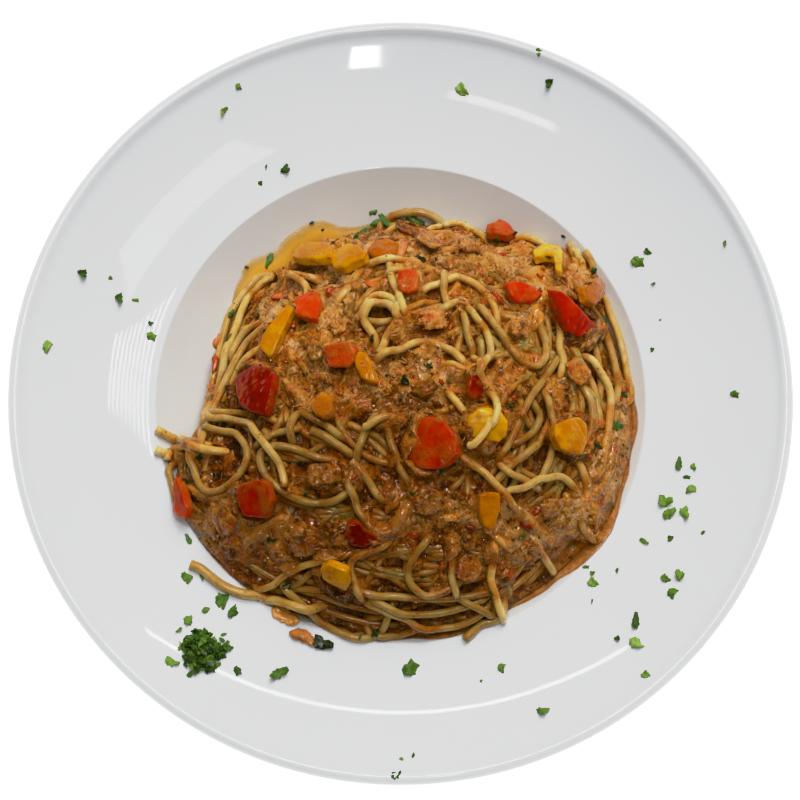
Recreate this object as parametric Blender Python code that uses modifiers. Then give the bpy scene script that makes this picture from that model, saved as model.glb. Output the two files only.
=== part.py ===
"""Tuna pasta: spaghetti in tuna and tomato sauce with pepper pieces, on its round plate.

Units are metres and +Z is up. The origin is the middle of the foot ring, on the table.
Routes and places of food are read on a photograph of the dish, taken from above and in
front, and are laid on the heap or on the plate by place_on().
"""
import math
import random

import bmesh
import bpy
from mathutils import Matrix, Vector
from mathutils.bvhtree import BVHTree

# ---------------------------------------------------------------- driving dimensions
PLATE_RADIUS = 0.135
LIP_HEIGHT = 0.042
WELL_RADIUS = 0.0855
WELL_HEIGHT = 0.027
FLOOR_RADIUS = 0.040
FLOOR_HEIGHT = 0.0065
RIM_END_RADIUS = 0.1305
RIM_END_HEIGHT = 0.0402
PLATE_WALL = 0.0046
FOOT_OUTER = 0.050
FOOT_INNER = 0.046
FOOT_RECESS = 0.0023
PLATE_STEPS = 48

HEAP_CENTRE = Vector((0.004, -0.006))
CORE_HEIGHT = 0.0553
CORE_INSET = 0.0020
CORE_EDGE = 0.0012
LUMP_HEIGHT = 0.0009
CORE_SEGMENTS = 40
CORE_RINGS = 19
CROWN_RINGS = 0.66

STRAND_RADIUS = 0.001375
STRAND_SINK = 0.0005
STRAND_SPACING = 0.0048
SHORTEST_STRAND = 0.010

SAUCE_INNER = 0.050
SAUCE_THICKNESS = 0.0012
SAUCE_TUCK = 0.0055
# Where the sauce spreads past the heap: bearing and width in degrees, then how far.
SAUCE_SPREADS = [(131, 24, 0.0115), (316, 14, 0.0040)]
SAUCE_SEGMENTS = 40

BED_GAP = 0.0005
SEAT_GAP = 0.0006
TOPPING_GAP = 0.0012
FLAKE_THICKNESS = 0.0011
FLAKE_SINK = 0.0004
SAUCE_DROP_HEIGHT = 0.0022
SAUCE_DROP_LEAF_HEIGHT = 0.0030
# Each kind of piece draws from its own seed, so that one kind never reshapes another.
RIM_SEED = 7
PEPPER_SEED = 11
TUNA_SEED = 13
STRAND_SEED = 7
LEAF_SEED = 5

# ---------------------------------------------------------------- how the photograph looks on
VIEW_ELEVATION = math.radians(76)
VIEW_DISTANCE = 1.0
PIXELS_PER_SLOPE = 2914.0
VIEW_CENTRE = (400.6, 389.7)

# ---------------------------------------------------------------- food, as laid on the plate
# The heap's outline seen from above, in millimetres from the plate's axis.
HEAP_OUTLINE_MM = [
    (82, 0), (79, 15), (73, 30), (70, 44), (62, 54), (49, 58), (30, 65), (16, 67), (0, 71),
    (-18, 66), (-32, 58), (-44, 50), (-55, 41), (-61, 32), (-66, 20), (-69, 6), (-73, -9),
    (-80, -22), (-78, -38), (-71, -50), (-60, -62), (-44, -73), (-24, -81), (0, -84),
    (22, -82), (42, -72), (60, -58), (70, -48), (77, -34), (82, -16),
]

# Strands that show, each a route of photograph points.
STRANDS = {
    "crown_ring": [(362, 330), (364, 305), (380, 291), (400, 296), (409, 312), (405, 330)],
    "crown_end": [(405, 336), (394, 346), (381, 360)],
    "crown_arc": [(392, 349), (410, 343), (430, 342), (450, 346), (462, 356), (467, 366)],
    "east_arc": [(443, 308), (460, 303), (475, 312), (485, 330), (489, 350), (478, 370)],
    "pepper_hook": [(482, 372), (494, 400), (493, 420), (475, 440), (462, 444)],
    "u_loop": [(485, 312), (500, 332), (515, 348), (535, 367), (546, 350), (541, 328)],
    "north_arc": [(460, 277), (478, 281), (490, 292), (497, 310)],
    "north_line": [(372, 264), (400, 268), (425, 272), (455, 278)],
    "north_east": [(497, 260), (520, 275), (545, 293)],
    "middle_short": [(448, 389), (456, 401), (465, 411)],
    "south_east_lean": [(552, 365), (532, 395), (524, 420), (510, 445)],
    "east_inner": [(559, 330), (560, 350), (558, 395)],
    "east_edge": [(597, 368), (607, 385), (612, 405), (610, 430), (604, 455), (597, 474)],
    "east_outer": [(605, 320), (614, 350), (622, 380), (625, 410)],
    "lean_south": [(540, 443), (515, 455), (497, 482)],
    "diagonal": [(470, 462), (490, 482), (510, 505), (530, 525), (547, 540)],
    "s_curve": [(500, 492), (520, 485), (560, 474), (575, 482), (582, 500), (583, 520), (598, 538)],
    "east_drop": [(548, 400), (553, 430), (550, 455), (545, 472)],
    "south_small": [(450, 518), (470, 520), (490, 530), (500, 540)],
    "south_tail": [(496, 560), (494, 580), (498, 600), (503, 612)],
    "south_hook": [(418, 550), (408, 565), (410, 580), (420, 592), (440, 597)],
    "south_line": [(360, 592), (380, 595), (420, 600), (460, 600), (490, 592)],
    "south_low": [(400, 618), (430, 625), (470, 625), (495, 616)],
    "south_arc": [(295, 598), (310, 610), (330, 623), (355, 630), (375, 630), (392, 620)],
    "south_west_lean": [(262, 590), (300, 568), (344, 551)],
    "south_west_low": [(225, 570), (245, 585), (268, 594), (290, 602)],
    "west_circle": [(232, 428), (248, 455), (243, 475), (228, 490), (212, 495), (200, 480), (196, 462)],
    "pale_strand": [(222, 418), (250, 430), (265, 448), (278, 465), (285, 487)],
    "west_arc": [(262, 438), (258, 460), (265, 478), (282, 492), (305, 500), (325, 503), (345, 498)],
    "north_west_arc": [(207, 420), (215, 380), (222, 340), (235, 305), (255, 285), (280, 273), (300, 276)],
    "north_west_inner": [(250, 335), (240, 345), (228, 370), (212, 415), (203, 440)],
    "middle_loop": [(353, 460), (350, 490), (352, 515), (365, 530), (380, 537), (395, 530), (403, 515)],
    "centre_short": [(389, 428), (401, 463), (409, 478)],
    "upper_short": [(323, 322), (335, 306), (348, 290)],
    "short_rise": [(350, 562), (360, 555), (383, 547)],
    "east_short": [(543, 548), (548, 560), (552, 570)],
}
FILLER_STRANDS = 13
FILLER_SHARES = (0.92, 0.62, 0.80, 0.45)

# Pepper pieces: photograph point, length, width, thickness (m), turn (degrees), taper.
RED_PEPPER = [
    (252, 388, 0.0150, 0.0100, 0.0040, 82, 0.80), (306, 305, 0.0080, 0.0078, 0.0040, 70, 0.90),
    (336, 357, 0.0084, 0.0080, 0.0038, 20, 0.85), (430, 443, 0.0165, 0.0125, 0.0050, 60, 0.75),
    (577, 313, 0.0165, 0.0080, 0.0042, -48, 0.55), (524, 293, 0.0095, 0.0070, 0.0036, -20, 0.80),
    (258, 498, 0.0130, 0.0090, 0.0042, -65, 0.80), (186, 502, 0.0100, 0.0050, 0.0034, -75, 0.70),
    (352, 531, 0.0082, 0.0066, 0.0036, -10, 0.80), (404, 283, 0.0070, 0.0062, 0.0034, 80, 0.90),
    (474, 388, 0.0062, 0.0048, 0.0034, 80, 0.80), (498, 232, 0.0078, 0.0052, 0.0036, -25, 0.80),
]
YELLOW_PEPPER = [
    (272, 334, 0.0145, 0.0060, 0.0038, 58, 0.80), (308, 252, 0.0125, 0.0066, 0.0038, 5, 0.85),
    (346, 254, 0.0105, 0.0078, 0.0038, 12, 0.80), (366, 367, 0.0082, 0.0050, 0.0036, -62, 0.80),
    (545, 252, 0.0098, 0.0055, 0.0036, -5, 0.85), (597, 285, 0.0072, 0.0062, 0.0036, 60, 0.80),
    (489, 424, 0.0120, 0.0115, 0.0040, -15, 0.85), (572, 440, 0.0115, 0.0095, 0.0040, -12, 0.85),
    (490, 510, 0.0108, 0.0066, 0.0038, 82, 0.85), (332, 578, 0.0112, 0.0076, 0.0038, -35, 0.85),
    (318, 402, 0.0078, 0.0058, 0.0036, 35, 0.75), (380, 253, 0.0090, 0.0046, 0.0034, 3, 0.85),
]
# Tuna flakes: photograph point, length, width, thickness (m), turn (degrees).
TUNA = [
    (428, 238, 0.0130, 0.0085, 0.0050, -20), (470, 245, 0.0090, 0.0070, 0.0045, 10),
    (520, 325, 0.0095, 0.0072, 0.0048, 75), (315, 350, 0.0070, 0.0060, 0.0045, 30),
    (432, 318, 0.0130, 0.0085, 0.0052, 15), (428, 500, 0.0120, 0.0090, 0.0052, -10),
    (305, 540, 0.0125, 0.0095, 0.0055, 10), (322, 474, 0.0125, 0.0075, 0.0048, 5),
    (225, 520, 0.0110, 0.0080, 0.0050, -50), (552, 508, 0.0090, 0.0070, 0.0048, -60),
    (468, 566, 0.0110, 0.0085, 0.0048, -15), (578, 370, 0.0110, 0.0080, 0.0048, -40),
]
# Parsley on the rim: photograph point, length, width (m), turn (degrees).
RIM_PARSLEY = [
    (170, 662, 0.0072, 0.0042, -35), (188, 622, 0.0054, 0.0046, 60), (221, 600, 0.0074, 0.0056, -20),
    (232, 612, 0.0078, 0.0034, 60), (237, 670, 0.0044, 0.0034, -50), (186, 577, 0.0072, 0.0034, -35),
    (277, 675, 0.0062, 0.0050, -60), (409, 671, 0.0076, 0.0060, 80), (501, 668, 0.0042, 0.0034, 10),
    (542, 712, 0.0076, 0.0030, -5), (395, 776, 0.0054, 0.0036, 0), (645, 675, 0.0048, 0.0034, 35),
    (636, 622, 0.0076, 0.0040, 80), (635, 643, 0.0068, 0.0048, -70), (681, 577, 0.0060, 0.0026, 65),
    (672, 593, 0.0050, 0.0036, -10), (592, 583, 0.0052, 0.0040, 40), (643, 541, 0.0044, 0.0028, -40),
    (666, 507, 0.0090, 0.0054, 80), (684, 513, 0.0056, 0.0048, 20), (691, 489, 0.0044, 0.0036, -60),
    (679, 466, 0.0058, 0.0036, 75), (734, 394, 0.0042, 0.0032, 0), (636, 262, 0.0058, 0.0050, 20),
    (538, 51, 0.0044, 0.0036, -80), (549, 82, 0.0046, 0.0038, -30), (461, 90, 0.0062, 0.0054, 30),
    (284, 170, 0.0064, 0.0030, 45), (81, 273, 0.0064, 0.0034, -10), (118, 298, 0.0050, 0.0044, 0),
    (150, 336, 0.0048, 0.0040, 0), (46, 346, 0.0050, 0.0042, -10),
]
PARSLEY_HEAP = (202, 652)
PARSLEY_HEAP_RADIUS = 0.0068
PARSLEY_HEAP_HEIGHT = 0.0048
PARSLEY_HEAP_LEAVES = 6
HEAP_LEAF = (0.0058, 0.0042)
SAUCE_DROP = (301, 641, 0.0084, 0.0048, -10)
SAUCE_DROP_LEAF = (320, 647, 0.0066, 0.0050, 70)

# ---------------------------------------------------------------- colours
PORCELAIN = ((0.80, 0.81, 0.82), 0.12)
PASTA = ((0.62, 0.42, 0.16), 0.45)
SAUCE = ((0.46, 0.17, 0.04), 0.30)
TUNA_FLESH = ((0.50, 0.27, 0.13), 0.60)
RED_FLESH = ((0.50, 0.03, 0.015), 0.30)
YELLOW_FLESH = ((0.72, 0.42, 0.02), 0.30)
PARSLEY_GREEN = ((0.06, 0.17, 0.03), 0.55)


# ---------------------------------------------------------------- scene helpers
def clear_scene():
    for old in list(bpy.data.objects):
        bpy.data.objects.remove(old, do_unlink=True)


def new_collection(name):
    collection = bpy.data.collections.new(name)
    bpy.context.scene.collection.children.link(collection)
    return collection


def new_material(name, look):
    colour, roughness = look
    material = bpy.data.materials.new(name)
    material.use_nodes = True
    shader = material.node_tree.nodes["Principled BSDF"]
    shader.inputs["Base Color"].default_value = (*colour, 1)
    shader.inputs["Roughness"].default_value = roughness
    return material


def new_object(name, bm, material, collection, smooth=True):
    """Turn a bmesh into a named object with outward faces."""
    bmesh.ops.recalc_face_normals(bm, faces=bm.faces)
    for face in bm.faces:
        face.smooth = smooth
    mesh = bpy.data.meshes.new(name)
    bm.to_mesh(mesh)
    bm.free()
    mesh.materials.append(material)
    piece = bpy.data.objects.new(name, mesh)
    collection.objects.link(piece)
    return piece


def evaluated_mesh(piece):
    bpy.context.view_layer.update()
    graph = bpy.context.evaluated_depsgraph_get()
    return bpy.data.meshes.new_from_object(piece.evaluated_get(graph))


def keep_outer_body(mesh):
    """Fill hollows that fusing sealed and drop loose scraps: only the widest shell stays."""
    bm = bmesh.new()
    bm.from_mesh(mesh)
    bmesh.ops.remove_doubles(bm, verts=bm.verts, dist=0.0000005)
    unseen = set(bm.faces)
    shells = []
    while unseen:
        front = [unseen.pop()]
        shell = list(front)
        while front:
            face = front.pop()
            for edge in face.edges:
                for beside in edge.link_faces:
                    if beside in unseen:
                        unseen.remove(beside)
                        front.append(beside)
                        shell.append(beside)
        shells.append(shell)
    widest = max(shells, key=len)
    for shell in shells:
        if shell is not widest:
            bmesh.ops.delete(bm, geom=shell, context="FACES")
    bmesh.ops.triangulate(bm, faces=bm.faces)
    bm.to_mesh(mesh)
    bm.free()


def fuse(piece, collection, solver="EXACT"):
    """Join every object of a collection to a piece, and remove them."""
    union = piece.modifiers.new("fuse", "BOOLEAN")
    union.operation = "UNION"
    union.operand_type = "COLLECTION"
    union.collection = collection
    union.solver = solver
    joined = evaluated_mesh(piece)
    keep_outer_body(joined)
    piece.modifiers.clear()
    piece.data = joined
    for part in list(collection.objects):
        bpy.data.objects.remove(part, do_unlink=True)
    bpy.data.collections.remove(collection)


# ---------------------------------------------------------------- forms of plate and heap
def smoothstep(share):
    share = min(1.0, max(0.0, share))
    return share * share * (3 - 2 * share)


def plate_top(radius):
    """Height of the plate's upper face: flat floor, curved wall, then a hollow rim."""
    if radius <= FLOOR_RADIUS:
        return FLOOR_HEIGHT
    if radius <= WELL_RADIUS:
        share = (radius - FLOOR_RADIUS) / (WELL_RADIUS - FLOOR_RADIUS)
        return FLOOR_HEIGHT + (WELL_HEIGHT - FLOOR_HEIGHT) * share ** 1.75
    share = (radius - WELL_RADIUS) / (RIM_END_RADIUS - WELL_RADIUS)
    return WELL_HEIGHT + (RIM_END_HEIGHT - WELL_HEIGHT) * (0.35 * share + 0.65 * share * share)


def plate_height(x, y):
    return plate_top(math.hypot(x, y))


def outline_as_angles():
    """The heap's outline as sorted pairs of angle and radius about the heap's centre."""
    pairs = []
    for x_mm, y_mm in HEAP_OUTLINE_MM:
        arm = Vector((x_mm, y_mm)) * 0.001 - HEAP_CENTRE
        pairs.append((math.atan2(arm.y, arm.x) % math.tau, arm.length))
    return sorted(pairs)


OUTLINE = outline_as_angles()


def heap_radius(angle):
    """Radius of the heap's outline about its centre, eased from one point to the next."""
    angle %= math.tau
    for (start, near), (end, far) in zip(OUTLINE, OUTLINE[1:] + OUTLINE[:1]):
        width = (end - start) % math.tau
        along = (angle - start) % math.tau
        if along <= width:
            return near + (far - near) * smoothstep(along / width)
    return OUTLINE[0][1]


def bed_height(x, y):
    """Height of the surface that the heap lies on: the plate's floor, then the sauce."""
    radius = math.hypot(x, y)
    on_sauce = smoothstep((radius - (SAUCE_INNER - 0.016)) / 0.012)
    return plate_top(radius) + BED_GAP + on_sauce * (SAUCE_THICKNESS + 2 * BED_GAP)


def heap_share(x, y):
    """Share of the way from the heap's centre to the core's edge, and that edge's place."""
    arm = Vector((x, y)) - HEAP_CENTRE
    angle = math.atan2(arm.y, arm.x)
    reach = heap_radius(angle) - CORE_INSET
    edge = HEAP_CENTRE + Vector((math.cos(angle), math.sin(angle))) * reach
    return min(1.0, arm.length / reach), edge


def core_height(x, y):
    """Height of the bare heap: a broad crown that drops steeply at its edge, with lumps."""
    share, edge = heap_share(x, y)
    foot = bed_height(edge.x, edge.y) + CORE_EDGE
    crown = (1 - share ** 2.3) ** 0.85
    lumps = math.sin(450 * x + 1.3) * math.sin(520 * y + 0.4)
    return foot + (CORE_HEIGHT - foot) * crown + LUMP_HEIGHT * lumps * (1 - share ** 4)


def core_normal(x, y):
    step = 0.0008
    slope_x = (core_height(x + step, y) - core_height(x - step, y)) / (2 * step)
    slope_y = (core_height(x, y + step) - core_height(x, y - step)) / (2 * step)
    return Vector((-slope_x, -slope_y, 1)).normalized()


def place_on(surface, point, above=0.0):
    """Plan position of a photographed point that lies on a surface."""
    back = Vector((0, -math.cos(VIEW_ELEVATION), math.sin(VIEW_ELEVATION)))
    up = Vector((0, math.sin(VIEW_ELEVATION), math.cos(VIEW_ELEVATION)))
    eye = Vector((0, 0, LIP_HEIGHT)) + back * VIEW_DISTANCE
    across = (point[0] - VIEW_CENTRE[0]) / PIXELS_PER_SLOPE
    rise = (VIEW_CENTRE[1] - point[1]) / PIXELS_PER_SLOPE
    ray = Vector((across, 0, 0)) + up * rise - back
    height = LIP_HEIGHT
    for _ in range(24):
        spot = eye + ray * ((height - eye.z) / ray.z)
        height += 0.6 * (surface(spot.x, spot.y) + above - height)
    return spot.x, spot.y


# ---------------------------------------------------------------- plate
def plate_profile():
    """Section of the plate from the axis over the upper face, round the lip and back below."""
    upper = [(0, FLOOR_HEIGHT), (FLOOR_RADIUS, FLOOR_HEIGHT)]
    upper += [(radius, plate_top(radius)) for radius in (0.050, 0.060, 0.069, 0.077, 0.083)]
    upper += [(WELL_RADIUS, WELL_HEIGHT)]
    upper += [(radius, plate_top(radius)) for radius in (0.090, 0.101, 0.112, 0.122)]
    upper += [(RIM_END_RADIUS, RIM_END_HEIGHT)]
    lip = [
        (PLATE_RADIUS - 0.0026, LIP_HEIGHT),
        (PLATE_RADIUS - 0.0009, LIP_HEIGHT - 0.0007),
        (PLATE_RADIUS, LIP_HEIGHT - 0.0024),
        (PLATE_RADIUS - 0.0008, LIP_HEIGHT - 0.0042),
    ]
    under = [(radius, plate_top(radius) - PLATE_WALL) for radius in (0.129, 0.112, 0.092, 0.080, 0.065)]
    foot = [
        (FOOT_OUTER + 0.002, plate_top(FOOT_OUTER) - PLATE_WALL),
        (FOOT_OUTER, 0),
        (FOOT_INNER, 0),
        (FOOT_INNER - 0.0006, FOOT_RECESS),
        (0, FOOT_RECESS),
    ]
    return upper + lip + under + foot


def add_plate(collection, material):
    profile = plate_profile()
    bm = bmesh.new()
    points = [bm.verts.new((radius, 0, height)) for radius, height in profile]
    for near, far in zip(points, points[1:]):
        bm.edges.new((near, far))
    mesh = bpy.data.meshes.new("plate")
    bm.to_mesh(mesh)
    bm.free()
    mesh.materials.append(material)
    plate = bpy.data.objects.new("plate", mesh)
    collection.objects.link(plate)
    turned = plate.modifiers.new("turned", "SCREW")
    turned.steps = PLATE_STEPS
    turned.render_steps = PLATE_STEPS
    turned.use_merge_vertices = True
    turned.merge_threshold = 0.00001
    plate.data = evaluated_mesh(plate)
    plate.modifiers.clear()
    return plate


def flake_mesh(length, width, sides, thickness, draw):
    """A ragged, slightly wavy chip of leaf, both faces split alike."""
    bm = bmesh.new()
    bmesh.ops.create_cone(
        bm, cap_ends=True, cap_tris=False, segments=sides, radius1=0.5, radius2=0.46, depth=1.0,
    )
    ragged = [draw.uniform(0.72, 1.12) for _ in range(sides)]
    for vert in bm.verts:
        corner = round(math.atan2(vert.co.y, vert.co.x) % math.tau / math.tau * sides) % sides
        reach = ragged[corner]
        vert.co.x *= length * reach
        vert.co.y *= width * reach
        vert.co.z *= thickness
    return bm


def lay_flake(place, sides, thickness, draw, collection, material):
    """Lay a chip on the plate, sunk a little so that it fuses."""
    px, py, length, width, turn = place
    x, y = place_on(plate_height, (px, py))
    bm = flake_mesh(length, width, sides, thickness, draw)
    outward = Vector((x, y)).normalized()
    step = 0.002
    slope = (plate_height(x + outward.x * step, y + outward.y * step) - plate_height(x, y)) / step
    normal = Vector((-slope * outward.x, -slope * outward.y, 1)).normalized()
    tilt = Vector((0, 0, 1)).rotation_difference(normal).to_matrix().to_4x4()
    spin = Matrix.Rotation(math.radians(turn), 4, "Z")
    rise = thickness / 2 - FLAKE_SINK
    place_at = Matrix.Translation(Vector((x, y, plate_height(x, y))) + normal * rise)
    bmesh.ops.transform(bm, matrix=place_at @ tilt @ spin, verts=bm.verts)
    return new_object("flake", bm, material, collection)


def add_rim_parsley(plate, material):
    draw = random.Random(RIM_SEED)
    flakes = new_collection("rim_flakes")
    for place in RIM_PARSLEY:
        lay_flake(place, 6, FLAKE_THICKNESS, draw, flakes, material)
    lay_flake(SAUCE_DROP, 9, SAUCE_DROP_HEIGHT, draw, flakes, material)
    lay_flake(SAUCE_DROP_LEAF, 7, SAUCE_DROP_LEAF_HEIGHT, draw, flakes, material)
    fuse(plate, flakes)


# ---------------------------------------------------------------- sauce
def sauce_reach(angle):
    """How far the sauce spreads from the heap's centre: tucked under it, but for two sides."""
    reach = heap_radius(angle) - SAUCE_TUCK
    for bearing, width, spread in SAUCE_SPREADS:
        aside = (math.degrees(angle) - bearing + 180) % 360 - 180
        reach += spread * math.exp(-(aside / width) ** 2)
    return reach


def add_sauce(collection, material):
    """A thin layer on the plate's wall, under the heap's edge and a little beyond it."""
    bm = bmesh.new()
    shares = (0.0, 0.5, 1.0)
    section = [(share, 0) for share in shares] + [(share, 1) for share in reversed(shares)]
    rings = []
    for step in range(SAUCE_SEGMENTS):
        angle = math.tau * step / SAUCE_SEGMENTS
        edge = HEAP_CENTRE + Vector((math.cos(angle), math.sin(angle))) * sauce_reach(angle)
        ring = []
        for share, side in section:
            radius = SAUCE_INNER + (edge.length - SAUCE_INNER) * share
            spot = edge.normalized() * radius
            thickness = SAUCE_THICKNESS * (1 - 0.45 * share ** 3)
            height = plate_top(radius) + BED_GAP + side * thickness
            ring.append(bm.verts.new((spot.x, spot.y, height)))
        rings.append(ring)
    count = len(section)
    for ring, following in zip(rings, rings[1:] + rings[:1]):
        for corner in range(count):
            beside = (corner + 1) % count
            bm.faces.new((ring[corner], following[corner], following[beside], ring[beside]))
    bmesh.ops.triangulate(bm, faces=bm.faces)
    return new_object("sauce", bm, material, collection)


# ---------------------------------------------------------------- heap
def add_core(collection, material):
    """The heap's bare body: a sphere whose lower rings lie on the bed and upper ones form the crown."""
    bm = bmesh.new()
    bmesh.ops.create_uvsphere(bm, u_segments=CORE_SEGMENTS, v_segments=CORE_RINGS, radius=1.0)
    for vert in bm.verts:
        down = math.acos(max(-1.0, min(1.0, vert.co.z))) / math.pi
        on_crown = down <= CROWN_RINGS
        ring_share = down / CROWN_RINGS if on_crown else (1 - down) / (1 - CROWN_RINGS)
        angle = math.atan2(vert.co.y, vert.co.x)
        reach = (heap_radius(angle) - CORE_INSET) * math.sin(ring_share * math.pi / 2)
        spot = HEAP_CENTRE + Vector((math.cos(angle), math.sin(angle))) * reach
        height = core_height(spot.x, spot.y) if on_crown else bed_height(spot.x, spot.y)
        vert.co = (spot.x, spot.y, height)
    bmesh.ops.triangulate(bm, faces=bm.faces)
    return new_object("spaghetti", bm, material, collection)


def solid_tree(piece):
    mesh = piece.data
    return BVHTree.FromPolygons(
        [vert.co.copy() for vert in mesh.vertices], [list(face.vertices) for face in mesh.polygons]
    )


def seat(bm, x, y, turn, tree, core_points):
    """Turn a piece to lie along the heap at x, y, and lift it until it only rests there."""
    normal = core_normal(x, y)
    tilt = Vector((0, 0, 1)).rotation_difference(normal).to_matrix().to_4x4()
    spin = Matrix.Rotation(math.radians(turn), 4, "Z")
    place_at = Matrix.Translation((x, y, core_height(x, y)))
    bmesh.ops.transform(bm, matrix=place_at @ tilt @ spin, verts=bm.verts)
    own = BVHTree.FromBMesh(bm)
    high = Vector((0, 0, 0.2))
    rise = -1.0
    for vert in bm.verts:
        hit = tree.ray_cast(Vector((vert.co.x, vert.co.y, 0)) + high, Vector((0, 0, -1)))[0]
        if hit:
            rise = max(rise, hit.z - vert.co.z)
    for point in core_points:
        hit = own.ray_cast(Vector((point.x, point.y, -0.1)), Vector((0, 0, 1)))[0]
        if hit:
            rise = max(rise, point.z - hit.z)
    gap = SEAT_GAP / max(0.35, normal.z)
    bmesh.ops.translate(bm, vec=(0, 0, rise + gap), verts=bm.verts)


def pepper_mesh(length, width, thickness, taper, draw):
    """A cut square of pepper: a bevelled slab, narrower at one end and bowed like its skin."""
    bm = bmesh.new()
    bmesh.ops.create_cube(bm, size=1.0)
    skew = draw.uniform(-0.12, 0.12)
    for vert in bm.verts:
        narrow = 1 + (taper - 1) * (vert.co.x + 0.5)
        vert.co.x = vert.co.x * length + skew * length * vert.co.y
        vert.co.y = vert.co.y * width * narrow
        vert.co.z = vert.co.z * thickness
    bmesh.ops.bevel(
        bm, geom=bm.edges[:], offset=min(width, thickness) * 0.2, segments=1, affect="EDGES",
    )
    for vert in bm.verts:
        vert.co.z -= 0.9 * thickness * (vert.co.x / length) ** 2
    bmesh.ops.triangulate(bm, faces=bm.faces)
    return bm


def tuna_mesh(length, width, thickness, draw):
    """A torn flake of tuna: a low, uneven lump with ridges along its fibres."""
    bm = bmesh.new()
    bmesh.ops.create_icosphere(bm, subdivisions=2, radius=0.5)
    phase = draw.uniform(0, math.tau)
    for vert in bm.verts:
        ridge = 1 + 0.10 * math.sin(9 * vert.co.y + phase) + draw.uniform(-0.07, 0.07)
        vert.co.x *= length * ridge
        vert.co.y *= width * ridge
        vert.co.z = max(-0.28, vert.co.z) * thickness * ridge
    return bm


def add_peppers(kind, places, tree, core_points, collection, material):
    draw = random.Random(PEPPER_SEED)
    pieces = []
    for index, (px, py, length, width, thickness, turn, taper) in enumerate(places, 1):
        x, y = place_on(core_height, (px, py), thickness)
        bm = pepper_mesh(length, width, thickness, taper, draw)
        seat(bm, x, y, turn, tree, core_points)
        pieces.append(new_object(f"{kind}_{index:02d}", bm, material, collection, smooth=False))
    return pieces


def add_tuna(tree, core_points, collection, material):
    draw = random.Random(TUNA_SEED)
    pieces = []
    for index, (px, py, length, width, thickness, turn) in enumerate(TUNA, 1):
        x, y = place_on(core_height, (px, py), thickness)
        bm = tuna_mesh(length, width, thickness, draw)
        seat(bm, x, y, turn, tree, core_points)
        pieces.append(new_object(f"tuna_{index:02d}", bm, material, collection))
    return pieces


# ---------------------------------------------------------------- strands
def catmull(points, spacing):
    """Points a set distance apart along a smooth curve through a route."""
    ends = [points[0] * 2 - points[1]] + points + [points[-1] * 2 - points[-2]]
    dense = []
    for before, start, end, after in zip(ends, ends[1:], ends[2:], ends[3:]):
        for step in range(12):
            t = step / 12
            dense.append(0.5 * (
                start * 2 + (end - before) * t
                + (before * 2 - start * 5 + end * 4 - after) * t ** 2
                + (start * 3 - before - end * 3 + after) * t ** 3
            ))
    dense.append(points[-1])
    kept = [dense[0]]
    walked = 0.0
    for near, far in zip(dense, dense[1:]):
        walked += (far - near).length
        if walked >= spacing:
            kept.append(far)
            walked = 0.0
    return kept


def on_core(x, y):
    """A strand's centre where it lies on the heap, sunk a little so that it fuses."""
    spot = Vector((x, y, core_height(x, y)))
    return spot + core_normal(x, y) * (STRAND_RADIUS - STRAND_SINK)


def filler_routes(draw):
    """More strands, wound round the heap at several heights, so that every side has some."""
    routes = []
    for index in range(FILLER_STRANDS):
        start = math.tau * index / FILLER_STRANDS + draw.uniform(-0.15, 0.15)
        share = FILLER_SHARES[index % len(FILLER_SHARES)]
        span = draw.uniform(0.42, 0.62) / share
        drift = draw.uniform(-0.10, 0.05)
        route = []
        for step in range(4):
            angle = start + span * step / 3
            reach = (heap_radius(angle) - CORE_INSET) * (share + drift * step / 3)
            spot = HEAP_CENTRE + Vector((math.cos(angle), math.sin(angle))) * reach
            route.append(Vector((spot.x, spot.y, 0)))
        routes.append(route)
    return routes


def is_near(point, trees, gap):
    return any(tree.find_nearest(point)[3] < STRAND_RADIUS + gap for tree in trees)


def free_stretches(points, toppings, dish):
    """A strand's stretches that stay clear of the toppings, the plate and the sauce."""
    def is_crowded(point):
        return is_near(point, toppings, TOPPING_GAP) or is_near(point, dish, BED_GAP)

    stretches = [[]]
    for point in points:
        if is_crowded(point):
            stretches.append([])
            continue
        if stretches[-1] and is_crowded((stretches[-1][-1] + point) / 2):
            stretches.append([])
        stretches[-1].append(point)
    return [kept for kept in stretches if len(kept) * STRAND_SPACING > SHORTEST_STRAND]


def add_strand(points, collection, material):
    """A tube with closed ends along the given points."""
    curve = bpy.data.curves.new("strand", "CURVE")
    curve.dimensions = "3D"
    curve.bevel_depth = STRAND_RADIUS
    curve.bevel_resolution = 1
    curve.use_fill_caps = True
    spline = curve.splines.new("POLY")
    spline.points.add(len(points) - 1)
    for spot, point in zip(spline.points, points):
        spot.co = (*point, 1)
    guide = bpy.data.objects.new("strand_guide", curve)
    collection.objects.link(guide)
    bm = bmesh.new()
    bm.from_mesh(evaluated_mesh(guide))
    bmesh.ops.remove_doubles(bm, verts=bm.verts, dist=0.00001)
    bpy.data.objects.remove(guide, do_unlink=True)
    return new_object("strand", bm, material, collection)


def add_strands(core, toppings, dish_pieces, material):
    topping_trees = [solid_tree(piece) for piece in toppings]
    dish_trees = [solid_tree(piece) for piece in dish_pieces]
    routes = []
    for route in STRANDS.values():
        plan = [place_on(core_height, point, STRAND_RADIUS) for point in route]
        routes.append([Vector((x, y, 0)) for x, y in plan])
    routes += filler_routes(random.Random(STRAND_SEED))
    strands = new_collection("strands")
    for route in routes:
        draped = [on_core(spot.x, spot.y) for spot in catmull(route, STRAND_SPACING)]
        for stretch in free_stretches(draped, topping_trees, dish_trees):
            add_strand(stretch, strands, material)
    fuse(core, strands)


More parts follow.
